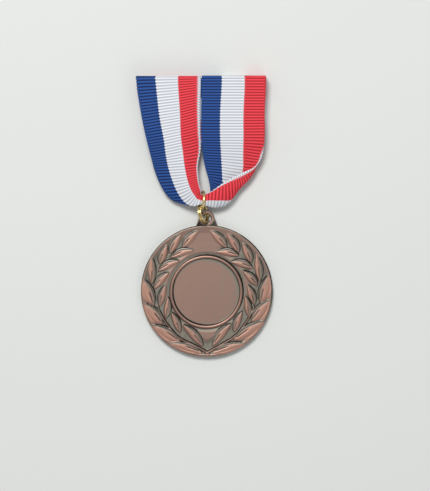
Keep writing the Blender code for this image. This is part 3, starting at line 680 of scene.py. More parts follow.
def disc_arrays(leaf_rise):
    """The disc: circles of points from the face's centre over the edge to the back's centre.

    Each circle has a radius; its height is the relief map's on the face, less the edge's drop,
    and the plain turned profile's on the side and back."""
    height_map, polish_and_shading_map, shine_map = face_maps(leaf_rise)
    turn = np.linspace(0, 2 * np.pi, DISC_SECTORS, endpoint=False)
    face_radius, face_drop = (part[:, None] for part in face_circles())
    read_radius = np.minimum(face_radius, DISC_RADIUS - 0.3)
    read_x, read_y = read_radius * np.cos(turn), read_radius * np.sin(turn)
    face = np.stack([face_radius * np.cos(turn), face_radius * np.sin(turn),
                     read_map(height_map, read_x, read_y) - face_drop], -1)
    face_polish_and_shading = read_map(polish_and_shading_map, read_x, read_y) - 0.25 * (face_drop > 0.25)
    face_shine = read_map(shine_map, read_x, read_y)
    back_radius, back_level, back_polish = (part[:, None] for part in back_circles())
    back = np.stack([back_radius * np.cos(turn), back_radius * np.sin(turn),
                     np.repeat(back_level, DISC_SECTORS, 1)], -1)
    rows = np.concatenate([face, back])
    poles = np.array([[0, 0, RECESS_LEVEL], [0, 0, 0.0]])
    points = np.concatenate([rows.reshape(-1, 3), poles])
    polish_and_shading = np.concatenate([face_polish_and_shading, np.repeat(back_polish, DISC_SECTORS, 1)])
    polish_and_shading = np.concatenate([polish_and_shading.ravel(), [BROWN_TONE, BROWN_TONE]])
    shine = np.concatenate([face_shine.ravel(), np.zeros(len(points) - face_shine.size)])
    quads = grid_quads(len(rows), DISC_SECTORS, wrap_columns=True)[:, ::-1]
    pole = len(rows) * DISC_SECTORS
    last = pole - DISC_SECTORS
    fans = np.concatenate([pole_triangles(pole, 0, DISC_SECTORS, flip=False),
                           pole_triangles(pole + 1, last, DISC_SECTORS, flip=True)])
    return points, quads, fans, polish_and_shading, shine


def tab_reach(turn):
    """From the hole's centre, how far the tab's outer edge is in each direction.

    The arch is a circle; below it the edge is where the ray meets the straight shoulder, or
    the level line under the disc's edge where the tab ends."""
    x, y = np.cos(turn), np.sin(turn)
    start = ARCH_RADIUS * np.array([math.cos(ARCH_END), math.sin(ARCH_END)])
    end = np.array([TAB_BASE_HALF, TAB_BASE_Y - HOLE_Y])
    normal = np.array([start[1] - end[1], end[0] - start[0]])
    facing = np.maximum(np.abs(x) * normal[0] + y * normal[1], 0.01)
    shoulder = (start @ normal) / facing
    base = (TAB_BASE_Y - TAB_ROOT - HOLE_Y) / np.minimum(y, -0.01)
    return np.where(y > math.sin(ARCH_END), ARCH_RADIUS, np.minimum(shoulder, base))


def tab_arrays():
    """The tab: round its hole, a closed section from the hole's wall to the outer edge.

    The section's corners are quarter circles; its top is dished between the arch's line and
    the shoulders."""
    around = 192
    turn = np.linspace(0, 2 * np.pi, around, endpoint=False)[:, None]
    reach = tab_reach(turn)
    quarter = np.linspace(0, np.pi / 2, 7)
    middle = (TAB_LOW + TAB_HIGH) / 2
    half = (TAB_HIGH - TAB_LOW) / 2
    span = np.linspace(0, 1, 14)[1:-1]
    hole_side = np.repeat([HOLE_RADIUS + TAB_ROUNDING * (1 - np.cos(quarter))], around, 0)
    hole_level = np.repeat([half - TAB_ROUNDING * (1 - np.sin(quarter))], around, 0)
    flat = HOLE_RADIUS + TAB_ROUNDING + span * (reach - HOLE_RADIUS - 2 * TAB_ROUNDING)
    dish = smoothstep(ARCH_RADIUS - 0.1, ARCH_RADIUS + 0.35, flat)
    dish = DISH_DEPTH * dish * smoothstep(reach - 0.3, reach - 0.9, flat)
    rim = reach - TAB_ROUNDING * (1 - np.sin(quarter))
    rim_level = np.repeat([half - TAB_ROUNDING * (1 - np.cos(quarter))], around, 0)
    radius = np.concatenate([hole_side, flat, rim,
                             rim[:, ::-1], flat[:, ::-1], hole_side[:, ::-1]], 1)
    level = np.concatenate([hole_level, half - dish, rim_level,
                            -rim_level[:, ::-1], np.full(flat.shape, -half),
                            -hole_level[:, ::-1]], 1)
    points = np.stack([radius * np.cos(turn), HOLE_Y + radius * np.sin(turn), middle + level], -1)
    hollow = np.zeros(radius.shape)
    hollow[:, len(quarter):len(quarter) + len(span)] = dish
    polish_and_shading = np.clip(TAB_TONE - 1.6 * hollow, 0, 1)
    # Painted shadow on the hole's wall and the tab's outer wall.
    polish_and_shading = np.where(np.abs(level) < half - 0.25, TAB_WALL_SHADOW, polish_and_shading)
    quads = grid_quads(around, points.shape[1], wrap_rows=True, wrap_columns=True)
    return points.reshape(-1, 3), quads[:, ::-1], polish_and_shading.ravel()


# ---------------------------------------------------------------------------------------------
# The ribbon as a folded strip


class FoldedStrip:
    """A strip laid and folded flat; each ruling is a point on the blue and on the red edge."""

    def __init__(self, blue, red, heading):
        self.blue = np.array(blue, float)
        self.red = np.array(red, float)
        self.heading = np.array(heading, float)
        self.rulings = []
        self.length = 0.0

    def mark(self):
        """Keep the present ruling."""
        self.rulings.append((self.blue.copy(), self.red.copy()))

    def run(self, distance):
        """Straight on."""
        self.blue += self.heading * distance
        self.red += self.heading * distance
        self.length += abs(distance)
        self.mark()

    def square_up(self):
        """Bring the edge that lags level with the other, across the heading."""
        lag = (self.blue - self.red) @ self.heading
        if lag > 0:
            self.red += self.heading * lag
        else:
            self.blue -= self.heading * lag
        self.length += abs(lag) / 2
        self.mark()

    def slant(self, fold_line):
        """Run one edge on until the ruling lies along the fold line."""
        across = self.red - self.blue
        width = np.linalg.norm(across)
        want = fold_line * (width * width / abs(fold_line @ across))
        if want @ across < 0:
            want = -want
        step = want - across
        if step @ self.heading > 0:
            self.red += step
        else:
            self.blue -= step
        self.length += np.linalg.norm(step) / 2
        self.mark()

    def bend(self, out, rise):
        """Rulings moved out along the way square to the ruling, and up; the heading mirrors."""
        across = (self.red - self.blue) / np.linalg.norm(self.red - self.blue)
        forward = self.heading - across * (self.heading @ across)
        forward /= np.linalg.norm(forward)
        blue, red = self.blue.copy(), self.red.copy()
        for away, lift in zip(out, rise):
            shift = forward * away + np.array((0.0, 0.0, lift))
            self.blue, self.red = blue + shift, red + shift
            self.mark()
        self.heading = self.heading - forward * (2 * (self.heading @ forward))

    def fold(self, rise):
        """Half a turn about the ruling, up or down by rise; the heading is mirrored."""
        angle = np.linspace(0, np.pi, 9)[1:]
        radius = abs(rise) / 2
        self.bend(radius * np.sin(angle), np.sign(rise) * radius * (1 - np.cos(angle)))
        self.length += np.pi * radius

    def drop(self, rise):
        """Over the stack's edge: two quarter turns with a straight fall between them."""
        angle = np.linspace(0, np.pi / 2, 7)
        out = FOLD_CORNER * np.concatenate([np.sin(angle[1:]), np.cos(angle)])
        fall = np.concatenate([FOLD_CORNER * (1 - np.cos(angle[1:])),
                               abs(rise) - FOLD_CORNER * (1 - np.sin(angle))])
        self.bend(out, np.sign(rise) * fall)
        self.length += np.pi * FOLD_CORNER + abs(rise) - 2 * FOLD_CORNER


def layer_height(layer):
    """Middle of a folded layer above the ground, with room above the seam."""
    room = SEAM_ROOM if layer > SEAM_LAYER else 0.0
    return LAYER_THICKNESS / 2 + PACK_CLEARANCE + (layer - 1) * LAYER_PITCH + room


def tucked_strip(edge_row, first_layer, step, last_layer, wanted):
    """The unseen length of one arm: over the top edge, then to and fro under both arms.

    It starts at the first layer and goes up or down by step; the left arm's (step -1) sets off
    to the right, the other to the left. It stops at the last layer or at the wanted length."""
    strip = FoldedStrip(edge_row[0], edge_row[-1], (0.0, 1.0, 0.0))
    rise = layer_height(first_layer) - strip.blue[2]
    if abs(rise) > 2 * FOLD_CORNER:
        strip.drop(rise)
    else:
        strip.fold(rise)
    strip.run(strip.blue[1] - STACK_TOP_Y)
    strip.slant(np.array((-step, -1.0, 0.0)) / math.sqrt(2))
    strip.fold(layer_height(first_layer + step) - layer_height(first_layer))
    strip.square_up()
    layer = first_layer + step
    while True:
        wall = STACK_RIGHT_X if strip.heading[0] > 0 else STACK_LEFT_X
        room = abs(wall - strip.blue[0])
        left = wanted - strip.length
        if layer == last_layer or left <= room:
            strip.run(min(room, max(left, SHORTEST_END)))
            return strip
        strip.run(room)
        strip.fold(layer_height(layer + step) - layer_height(layer))
        layer += step


def ribbon_middle(columns):
    """The ribbon's middle surface in three stretches of rows, and the left arm's strip.

    The seen stretch is a Catmull-Rom surface through RIBBON_ROWS, cut into even steps along
    its middle; the folded stretches are straight rulings between the strip's two edges."""
    rows = np.array(RIBBON_ROWS)
    across = np.linspace(0, 1, columns)
    lines = catmull(rows, 12)
    fine_across = catmull(np.swapaxes(lines, 0, 1), 12)
    knots = catmull(np.array(ROW_ACROSS), 12)
    fine = np.swapaxes(resampled(fine_across, knots, across), 0, 1)
    steps = np.linalg.norm(np.diff(fine.mean(axis=1), axis=0), axis=1)
    station = np.concatenate([[0], np.cumsum(steps)])
    count = int(round(station[-1] / RIB_PITCH * ROWS_PER_RIB))
    seen = resampled(fine, station, np.linspace(0, station[-1], count + 1))
    hidden = (RIBBON_LENGTH - station[-1]) / 2
    left = tucked_strip(rows[0], LAYER_COUNT, -1, SEAM_LAYER, hidden)
    right = tucked_strip(rows[-1], 1, 1, SEAM_LAYER - 1, hidden)
    left_edges = np.array(left.rulings[::-1])
    right_edges = np.array(right.rulings)
    ways = across[None, :, None]
    before = left_edges[:, :1] * (1 - ways) + left_edges[:, 1:] * ways
    after = right_edges[:, :1] * (1 - ways) + right_edges[:, 1:] * ways
    return before, seen, after, left


def row_places(rows):
    """How far along the ribbon each point is, one column after another down the rows."""
    steps = np.linalg.norm(np.diff(rows, axis=0), axis=2)
    return np.concatenate([np.zeros((1, rows.shape[1])), np.cumsum(steps, axis=0)])


def weave_places(before, seen, after):
    """How far along the cloth each point lies from the start of the seen stretch.

    On the seen stretch the rows are one step of the weave apart, so that the ribs stay even
    round every bend; on the folded stretches it is the distance over the surface."""
    lead = row_places(np.concatenate([before, seen[:1]]))
    lead = lead[:-1] - lead[-1]
    step = RIB_PITCH / ROWS_PER_RIB
    middle = np.repeat(np.arange(len(seen))[:, None] * step, seen.shape[1], 1)
    tail = middle[-1] + row_places(np.concatenate([seen[-1:], after]))[1:]
    return np.concatenate([lead, middle, tail])


def ribbon_arrays(rib_height):
    """The ribbon's closed skin: its middle surface moved half a thickness out on both sides.

    On the seen stretch the half thickness swells with every rib, as a root of a sine, and
    the two selvages go in and out with the ribs."""
    columns = 37
    before, seen, after, _ = ribbon_middle(columns)
    rows = np.concatenate([before, seen, after])
    first, last = len(before), len(before) + len(seen) - 1
    place = weave_places(before, seen, after)
    sideways = np.gradient(rows, axis=1)
    normal = np.cross(sideways, np.gradient(rows, axis=0))
    normal /= np.maximum(np.linalg.norm(normal, axis=2, keepdims=True), 1e-9)
    index = np.arange(len(rows))[:, None]
    on_view = smoothstep(first, first + ROWS_PER_RIB, index)
    on_view = on_view * smoothstep(last, last - ROWS_PER_RIB, index)
    rib = np.abs(np.sin(np.pi * place / RIB_PITCH)) ** RIB_FULLNESS
    across = np.linspace(0, 1, columns)[None, :]
    rim = np.minimum(across, 1 - across) * RIBBON_WIDTH
    soft_edge = 0.55 + 0.45 * smoothstep(0.0, 0.5, rim)
    half = (LAYER_THICKNESS / 2 + (rib_height * rib - VALLEY_DEPTH) * on_view) * soft_edge
    edge_way = sideways / np.linalg.norm(sideways, axis=2, keepdims=True)
    outward = np.where(across < 0.5, -1.0, 1.0) * smoothstep(0.8, 0.0, rim)
    wave = outward * (rib - 0.6) * SELVAGE_WAVE * on_view
    rows = rows + edge_way * wave[..., None]
    upper = rows + normal * half[..., None]
    lower = rows - normal * half[..., None]
    skin = np.concatenate([upper, lower[:, ::-1]], 1)
    around = skin.shape[1]
    u = np.repeat(across, len(rows), 0)
    v = place / RIBBON_LENGTH + 0.5
    uv = np.stack([np.concatenate([u, u[:, ::-1]], 1), np.concatenate([v, v[:, ::-1]], 1)], -1)
    cell = np.arange(columns - 1)
    start = np.stack([cell, cell + 1, around - 2 - cell, around - 1 - cell], -1)
    end = (len(rows) - 1) * around + start[:, ::-1]
    quads = np.concatenate([grid_quads(len(rows), around, wrap_columns=True), start, end])
    return skin.reshape(-1, 3), quads[:, ::-1], uv.reshape(-1, 2)


# ---------------------------------------------------------------------------------------------
# Finishes


def new_material(name):
    """A material with its node tree and its Principled shader."""
    made = bpy.data.materials.new(name)
    made.use_nodes = True
    tree = made.node_tree
    return made, tree, tree.nodes["Principled BSDF"]


def add_node(tree, kind, **values):
    """A node with its properties and, by number or name, its input values."""
    node = tree.nodes.new(kind)
    for key, value in values.items():
        if key.startswith("in_"):
            name = key[3:]
            node.inputs[int(name) if name.isdigit() else name].default_value = value
        else:
            setattr(node, key, value)
    return node


def math_node(tree, operation, first, second=None, third=None, clamp=False):
    """A Math node; each input is a number, a socket or nothing."""
    node = add_node(tree, "ShaderNodeMath", operation=operation, use_clamp=clamp)
    for socket, value in zip(node.inputs, (first, second, third)):
        if value is None:
            continue
        if isinstance(value, (int, float)):
            socket.default_value = value
        else:
            tree.links.new(value, socket)
    return node.outputs[0]


def centred(tree, mask, reach):
    """A mask around 0.5 made into one around 0, reach from its lowest to its highest."""
    return math_node(tree, "MULTIPLY_ADD", mask, reach, -reach / 2)


def mix_colour(tree, factor, first, second):
    """The first colour where the factor is 0, the second where it is 1."""
    node = add_node(tree, "ShaderNodeMix", data_type="RGBA")
    for socket, value in zip((node.inputs[0], node.inputs[6], node.inputs[7]),
                             (factor, first, second)):
        if isinstance(value, (int, float)):
            socket.default_value = value
        elif isinstance(value, tuple):
            socket.default_value = (*value[:3], 1.0)
        else:
            tree.links.new(value, socket)
    return node.outputs[2]


def group_tree(name, inputs, outputs):
    """An empty shader group with named sockets: (name, kind, default)."""
    tree = bpy.data.node_groups.new(name, "ShaderNodeTree")
    for label, kind, default in inputs:
        socket = tree.interface.new_socket(label, in_out="INPUT", socket_type=kind)
        socket.default_value = default
    for label, kind in outputs:
        tree.interface.new_socket(label, in_out="OUTPUT", socket_type=kind)
    return tree, tree.nodes.new("NodeGroupInput"), tree.nodes.new("NodeGroupOutput")


def fine_grain_group():
    """Speckle and slow cloudiness from Object coordinates, both as masks around 0.5."""
    tree, start, end = group_tree(
        "Fine grain",
        [("Speckle scale", "NodeSocketFloat", 6000.0), ("Cloud scale", "NodeSocketFloat", 220.0)],
        [("Speckle", "NodeSocketFloat"), ("Cloud", "NodeSocketFloat")])
    place = add_node(tree, "ShaderNodeTexCoord")
    for label in ("Speckle", "Cloud"):
        noise = add_node(tree, "ShaderNodeTexNoise", in_Detail=3.0, in_Roughness=0.6)
        tree.links.new(place.outputs["Object"], noise.inputs["Vector"])
        tree.links.new(start.outputs[label + " scale"], noise.inputs["Scale"])
        tree.links.new(noise.outputs["Fac"], end.inputs[label])
    return tree


def brushed_group():
    """Long thin scratches along one direction in the XY plane, as a mask around 0.5.

    The place is turned so that X runs along the lines, then packed closely across them."""
    tree, start, end = group_tree(
        "Brushed lines", [("Scale", "NodeSocketFloat", 1.0)], [("Lines", "NodeSocketFloat")])
    place = add_node(tree, "ShaderNodeTexCoord")
    turned = add_node(tree, "ShaderNodeMapping", vector_type="TEXTURE")
    turned.inputs["Location"].default_value = (0.31, 0.17, 0.05)
    turned.inputs["Rotation"].default_value = (0.0, 0.0, math.radians(64))
    turned.inputs["Scale"].default_value = (1 / 70, 1 / 1500, 1 / 300)
    noise = add_node(tree, "ShaderNodeTexNoise", in_Detail=4.0, in_Roughness=0.7)
    tree.links.new(place.outputs["Object"], turned.inputs["Vector"])
    tree.links.new(turned.outputs["Vector"], noise.inputs["Vector"])
    tree.links.new(start.outputs["Scale"], noise.inputs["Scale"])
    tree.links.new(noise.outputs["Fac"], end.inputs["Lines"])
    return tree


def place_group(tree, group, **values):
    """The shader group in a material, with its own values."""
    node = tree.nodes.new("ShaderNodeGroup")
    node.node_tree = group
    for key, value in values.items():
        node.inputs[key.replace("_", " ")].default_value = value
    return node


def antique_copper(settings, grain, lines):
    """Copper whose patina, painted light and painted shade follow the polish_and_shading mask,
    speckled, cloudy and finely brushed; the shine mask adds a painted highlight.
    """
    made, tree, shader = new_material("antique_copper")
    mask = add_node(tree, "ShaderNodeAttribute", attribute_name="polish_and_shading")
    texture = place_group(tree, grain)
    brush = place_group(tree, lines)
    speckle = centred(tree, texture.outputs["Speckle"], 0.22)
    cloud = centred(tree, texture.outputs["Cloud"], 0.16)
    streak = centred(tree, brush.outputs["Lines"], 0.46)
    total = math_node(tree, "ADD", mask.outputs["Fac"], speckle)
    total = math_node(tree, "ADD", total, cloud)
    total = math_node(tree, "ADD", total, streak)
    ramp = add_node(tree, "ShaderNodeValToRGB")
    ramp.color_ramp.interpolation = "EASE"
    # The dark end stands for thick patina and painted shade, the bright end for rubbed copper and
    # painted light.
    dark, bright = ramp.color_ramp.elements
    dark.position = 0.02
    dark.color = (*settings.dark, 1.0)
    bright.position = 0.98
    bright.color = (*settings.bright, 1.0)
    ramp.color_ramp.elements.new(0.26).color = (*settings.grey, 1.0)
    ramp.color_ramp.elements.new(0.48).color = (*settings.body, 1.0)
    tree.links.new(total, ramp.inputs["Fac"])
    # The shine mask mixes in a painted pale highlight on the leaves' lit edges.
    edge = add_node(tree, "ShaderNodeAttribute", attribute_name="shine")
    colour = mix_colour(tree, edge.outputs["Fac"], ramp.outputs["Color"], tuple(settings.painted_edge_light))
    tree.links.new(colour, shader.inputs["Base Color"])
    shader.inputs["Metallic"].default_value = 0.85
    rough = math_node(tree, "MULTIPLY_ADD", total, -0.16, 0.56)
    tree.links.new(rough, shader.inputs["Roughness"])
    bump = add_node(tree, "ShaderNodeBump", in_Strength=0.25, in_Distance=0.00004)
    tree.links.new(math_node(tree, "ADD", speckle, streak), bump.inputs["Height"])
    tree.links.new(bump.outputs["Normal"], shader.inputs["Normal"])
    return made


def gilt_wire(settings, grain):
    """Bright gilt plating, darker in slow clouds and uneven in gloss."""
    made, tree, shader = new_material("gilt_wire")
    texture = place_group(tree, grain, Speckle_scale=9000.0, Cloud_scale=900.0)
    colour = mix_colour(tree, texture.outputs["Cloud"], tuple(settings.gilt),
                        tuple(0.8 * value for value in settings.gilt))
    tree.links.new(colour, shader.inputs["Base Color"])
    shader.inputs["Metallic"].default_value = 1.0
    rough = math_node(tree, "MULTIPLY_ADD", texture.outputs["Speckle"], 0.16, 0.12)
    tree.links.new(rough, shader.inputs["Roughness"])
    return made


def ribbon_cloth(settings, grain):
    """Three stripes and a selvage from the weave map, with painted light and shade rib by rib.

    The stripes' borders step to and fro with the ribs, painted shade darkens each valley between
    ribs, and fine yarns run along the ribbon over each rib."""
    made, tree, shader = new_material("ribbon_cloth")
    weave = add_node(tree, "ShaderNodeUVMap", uv_map="weave")
    split = add_node(tree, "ShaderNodeSeparateXYZ")
    tree.links.new(weave.outputs["UV"], split.inputs[0])
    across, along = split.outputs[0], split.outputs[1]
    rib_count = RIBBON_LENGTH / RIB_PITCH
    phase = math_node(tree, "MULTIPLY_ADD", along, rib_count, -0.5 * rib_count)
    sine = math_node(tree, "SINE", math_node(tree, "MULTIPLY", phase, math.pi))
    wave = math_node(tree, "ABSOLUTE", sine)
    ridge = math_node(tree, "POWER", wave, 1.35)
    jag = math_node(tree, "MULTIPLY_ADD", wave, 0.016, -0.010)
    shifted = math_node(tree, "ADD", across, jag)
    colour = tuple(settings.blue)
    valley = tuple(np.multiply(settings.blue, BLUE_VALLEY_SHADE))
    stripes = ((settings.white, WHITE_VALLEY_SHADE), (settings.red, RED_VALLEY_SHADE))
    for border, (stripe, shadow) in zip(STRIPE_BORDERS, stripes):
        step = math_node(tree, "GREATER_THAN", shifted, border)
        colour = mix_colour(tree, step, colour, tuple(stripe))
        valley = mix_colour(tree, step, valley, tuple(np.multiply(stripe, shadow)))
    tooth = math_node(tree, "MULTIPLY_ADD", wave, 0.03, 0.938)
    goes, gone = (0.5 + place / RIBBON_LENGTH for place in SELVAGE_GOES)
    narrowed = add_node(tree, "ShaderNodeMapRange", in_1=goes, in_2=gone, in_4=0.1)
    tree.links.new(along, narrowed.inputs[0])
    tooth = math_node(tree, "ADD", tooth, narrowed.outputs[0])
    selvage = math_node(tree, "GREATER_THAN", across, tooth)
    colour = mix_colour(tree, selvage, colour, tuple(settings.white))
    valley = mix_colour(tree, selvage, valley, tuple(np.multiply(settings.white, WHITE_VALLEY_SHADE)))
    yarn = math_node(tree, "SINE", math_node(tree, "MULTIPLY", across, 2 * math.pi * YARNS_ACROSS))
    yarn = math_node(tree, "MULTIPLY", yarn, 0.05)
    texture = place_group(tree, grain, Speckle_scale=4200.0, Cloud_scale=160.0)
    fuzz = math_node(tree, "MULTIPLY", texture.outputs["Speckle"], 0.14)
    # Painted light on each ridge and painted shade in each valley.
    shade = math_node(tree, "MULTIPLY_ADD", ridge, 1.05, -0.02)
    shade = math_node(tree, "ADD", shade, yarn)
    shade = math_node(tree, "ADD", shade, fuzz)
    shade = math_node(tree, "SUBTRACT", shade, 0.08, clamp=True)
    colour = mix_colour(tree, shade, valley, colour)
    tree.links.new(colour, shader.inputs["Base Color"])
    shader.inputs["Roughness"].default_value = 0.78
    shader.inputs["Specular IOR Level"].default_value = 0.2
    bump = add_node(tree, "ShaderNodeBump", in_Strength=0.5, in_Distance=0.00008)
    height = math_node(tree, "ADD", ridge, math_node(tree, "MULTIPLY", yarn, 2.0))
    tree.links.new(height, bump.inputs["Height"])
    tree.links.new(bump.outputs["Normal"], shader.inputs["Normal"])
    return made


def seam_thread(grain):
    """Off-white sewing thread."""
    made, tree, shader = new_material("seam_thread")
    texture = place_group(tree, grain, Speckle_scale=5000.0)
    colour = mix_colour(tree, texture.outputs["Speckle"], (0.85, 0.85, 0.86), (0.6, 0.6, 0.63))
    tree.links.new(colour, shader.inputs["Base Color"])
    shader.inputs["Roughness"].default_value = 0.85
    return made


def floor_paper(settings, grain):
    """The plain pale floor, very slightly speckled."""
    made, tree, shader = new_material("floor_paper")
    texture = place_group(tree, grain, Speckle_scale=900.0, Cloud_scale=12.0)
    tone = tuple(settings.floor)
    colour = mix_colour(tree, texture.outputs["Speckle"], tone, tuple(0.985 * v for v in tone))
    tree.links.new(colour, shader.inputs["Base Color"])
    shader.inputs["Roughness"].default_value = 0.9
    return made


def shared_group(name, maker):
    """The shader group of that name, made on first use."""
    return bpy.data.node_groups.get(name) or maker()


def grain_group():
    """The grain that every finish uses."""
    return shared_group("Fine grain", fine_grain_group)


def take_over(piece, node, body):
    """The piece rides on the body and stands for the node, whose part is hidden."""
    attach(piece, body)
    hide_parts(node)


# ---------------------------------------------------------------------------------------------
# One operator for each piece


class MEDAL_OT_casting(bpy.types.Operator):
    """Cast medal: disc with its laurel relief and recess, and the tab with its hole"""

    bl_idname = "medal.casting"
    bl_label = "Cast medal"

    def execute(self, context):
        settings = context.scene.medal_casting
        points, quads, fans, polish_and_shading, shine = disc_arrays(settings.relief / MM)
        tab_points, tab_quads, tab_polish_and_shading = tab_arrays()
        quads = np.concatenate([quads, tab_quads + len(points)])
        piece = mesh_piece(
            "medal_casting", np.concatenate([points, tab_points]), quads, fans,
            masks={"polish_and_shading": np.concatenate([polish_and_shading, tab_polish_and_shading]),
                   "shine": np.concatenate([shine, 0 * tab_polish_and_shading])})
        lines = shared_group("Brushed lines", brushed_group)
        piece.data.materials.append(antique_copper(settings, grain_group(), lines))
        take_over(piece, "medal", "medal")
        return {"FINISHED"}


class MEDAL_OT_split_ring(bpy.types.Operator):
    """Split ring: one wire in two turns, side by side, with a crank between them"""

    bl_idname = "medal.split_ring"
    bl_label = "Split ring"

    def execute(self, context):
        settings = context.scene.medal_rings
        wire = settings.split_wire / MM
        degrees = np.linspace(0, SPLIT_WINDING, 345)
        turn = np.radians(degrees + SPLIT_START)
        crank = smoothstep(*SPLIT_CRANK, degrees)
        path = np.stack([SPLIT_RADIUS * np.cos(turn), SPLIT_RADIUS * np.sin(turn),
                         SPLIT_PITCH * wire * (2 * crank - 1)], -1)
        path = placed(path, SPLIT_CENTRE, SPLIT_LEAN, SPLIT_TURN)
        axis = placed(np.array([[0.0, 0.0, 1.0]]), (0, 0, 0), SPLIT_LEAN, SPLIT_TURN)
        piece = tube_piece("split_ring_wire", path, wire, 16, np.repeat(axis, len(path), 0))
        piece.data.materials.append(gilt_wire(settings, grain_group()))
        take_over(piece, "split_ring", "split_ring")
        return {"FINISHED"}


class MEDAL_OT_jump_ring(bpy.types.Operator):
    """Jump ring: one turn of wire, closed to a fine joint low down on the medal's side"""

    bl_idname = "medal.jump_ring"
    bl_label = "Jump ring"

    def execute(self, context):
        settings = context.scene.medal_rings
        wire = settings.jump_wire / MM
        opening = (JUMP_JOINT - 360 + JUMP_OPENING, JUMP_JOINT - JUMP_OPENING)
        turn = np.radians(np.linspace(*opening, 241))
        from_end = np.minimum(np.arange(241), np.arange(241)[::-1])
        radius = wire * (0.86 + 0.14 * smoothstep(-1, 3, from_end))
        path = np.stack([0 * turn, JUMP_RADIUS * np.cos(turn), JUMP_RADIUS * np.sin(turn)], -1)
        path = placed(path, JUMP_CENTRE, JUMP_LEAN, JUMP_TURN)
        axis = placed(np.array([[1.0, 0.0, 0.0]]), (0, 0, 0), JUMP_LEAN, JUMP_TURN)
        piece = tube_piece("jump_ring_wire", path, radius, 20, np.repeat(axis, len(path), 0))
        # The heavier wire takes the material already named gilt_wire, if there is one.
        gilt = bpy.data.materials.get("gilt_wire") or gilt_wire(settings, grain_group())
        piece.data.materials.append(gilt)
        take_over(piece, "jump_ring", "jump_ring")
        return {"FINISHED"}


class MEDAL_OT_ribbon(bpy.types.Operator):
    """Ribbon: one ribbed strip through the jump ring, folded away under its two arms"""

    bl_idname = "medal.ribbon"
    bl_label = "Ribbon"

    def execute(self, context):
        settings = context.scene.medal_ribbon
        points, quads, uv = ribbon_arrays(settings.rib / MM)
        piece = mesh_piece("ribbon_strip", points, quads, uv=uv)
        piece.data.materials.append(ribbon_cloth(settings, grain_group()))
        take_over(piece, "ribbon", "ribbon")
        return {"FINISHED"}


class MEDAL_OT_stitching(bpy.types.Operator):
    """Stitching: a zigzag of thread on the ribbon's sewn end"""

    bl_idname = "medal.stitching"
    bl_label = "Seam stitching"

    def execute(self, context):
        *_, left = ribbon_middle(3)
        blue, red = left.rulings[-1]
        back = -left.heading
        across = (red - blue) / np.linalg.norm(red - blue)
        lift = np.array((0.0, 0.0, LAYER_THICKNESS / 2 + THREAD_RADIUS + 0.04))
        start = blue + (across + back) * STITCH_PITCH + lift
        count = int(RIBBON_WIDTH / STITCH_PITCH) - 2
        k = np.arange(count + 1)[:, None]
        knots = start + across * (k * STITCH_PITCH) + back * (STITCH_DEPTH * (k % 2))
        path = resampled(knots, np.arange(count + 1), np.linspace(0, count, count * 8 + 1))
        up = np.repeat([[0.0, 0.0, 1.0]], len(path), 0)
        piece = tube_piece("seam_stitches", path, THREAD_RADIUS, 8, up)
        piece.data.materials.append(seam_thread(grain_group()))
        take_over(piece, "seam_stitching", "ribbon")
        return {"FINISHED"}


class MEDAL_OT_stage(bpy.types.Operator):
    """Stage: a pale floor, one large soft light, a fill and the camera straight above"""

    bl_idname = "medal.stage"
    bl_label = "Stage"

    def execute(self, context):
        settings = context.scene.medal_stage
        corners = np.array([(-1, -1, 0), (1, -1, 0), (1, 1, 0), (-1, 1, 0)]) * FLOOR_HALF
        floor = mesh_piece("floor", corners - (0, 0, FLOOR_DROP), [(0, 1, 2, 3)])
        floor.data.materials.append(floor_paper(settings, grain_group()))
        middle = np.mean(np.array(CAD_BOUNDS), axis=0)
        add_area("key_light", KEY_PLACE, middle, KEY_SIZE, settings.key_power)
        add_area("fill_light", FILL_PLACE, middle, FILL_SIZE, settings.key_power * FILL_SHARE)
        world = bpy.data.worlds.new("studio")
        world.use_nodes = True
        background = world.node_tree.nodes["Background"]
        background.inputs["Color"].default_value = SKY_COLOUR
        background.inputs["Strength"].default_value = SKY_STRENGTH
        context.scene.world = world
        context.scene.view_settings.view_transform = "Standard"
        add_camera(context, CAMERA_OVER, VIEW_HEIGHT)
        return {"FINISHED"}


def aim(obj, place, target):
    """Puts the object at place with its -Z axis towards the target."""
    away = np.asarray(place, float) - np.asarray(target, float)
    flat = math.hypot(away[0], away[1])
    obj.location = place
    obj.rotation_euler = (math.atan2(flat, away[2]), 0.0, math.atan2(away[0], -away[1]))


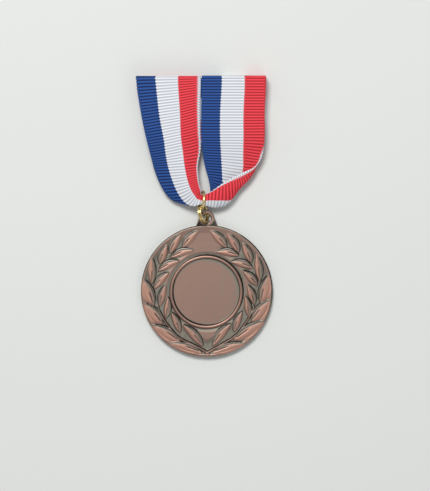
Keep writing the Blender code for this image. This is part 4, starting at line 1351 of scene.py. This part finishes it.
def add_area(name, place, target, size, power):
    """A round area light that faces the target."""
    light = bpy.data.lights.new(name, "AREA")
    light.shape = "DISK"
    light.size = size
    light.energy = power
    obj = bpy.data.objects.new(name, light)
    bpy.context.scene.collection.objects.link(obj)
    aim(obj, place, target)


def add_camera(context, over, view_height):
    """A long lens straight above a point, framing the given height of floor in metres."""
    camera = bpy.data.cameras.new("camera")
    camera.sensor_fit = "VERTICAL"
    camera.sensor_height = 36.0
    camera.lens = camera.sensor_height * CAMERA_DISTANCE / view_height
    camera.clip_end = 10.0
    obj = bpy.data.objects.new("camera", camera)
    context.scene.collection.objects.link(obj)
    obj.location = (*over, CAMERA_DISTANCE)
    context.scene.camera = obj


class MEDAL_PT_panel(bpy.types.Panel):
    """Buttons that make the pieces, and their sizes and colours"""

    bl_idname = "MEDAL_PT_panel"
    bl_label = "Award medal"
    bl_space_type = "VIEW_3D"
    bl_region_type = "UI"
    bl_category = "Medal"

    def draw(self, context):
        layout = self.layout
        for operator in OPERATORS:
            layout.operator(operator.bl_idname)
        for name in SETTINGS:
            group = getattr(context.scene, name)
            for prop in group.bl_rna.properties.keys():
                if prop not in ("rna_type", "name"):
                    layout.prop(group, prop)


SETTINGS = {
    "medal_casting": CastingSettings,
    "medal_rings": RingSettings,
    "medal_ribbon": RibbonSettings,
    "medal_stage": StageSettings,
}
OPERATORS = (
    MEDAL_OT_stage,
    MEDAL_OT_casting,
    MEDAL_OT_split_ring,
    MEDAL_OT_jump_ring,
    MEDAL_OT_ribbon,
    MEDAL_OT_stitching,
)


def register():
    for made in (*SETTINGS.values(), *OPERATORS, MEDAL_PT_panel):
        bpy.utils.register_class(made)
    for name, group in SETTINGS.items():
        setattr(bpy.types.Scene, name, bpy.props.PointerProperty(type=group))


def unregister():
    for name in SETTINGS:
        delattr(bpy.types.Scene, name)
    for made in (MEDAL_PT_panel, *reversed(OPERATORS), *reversed(SETTINGS.values())):
        bpy.utils.unregister_class(made)


def main():
    register()
    for operator in OPERATORS:
        group, name = operator.bl_idname.split(".")
        getattr(getattr(bpy.ops, group), name)()


if __name__ == "__main__":
    main()
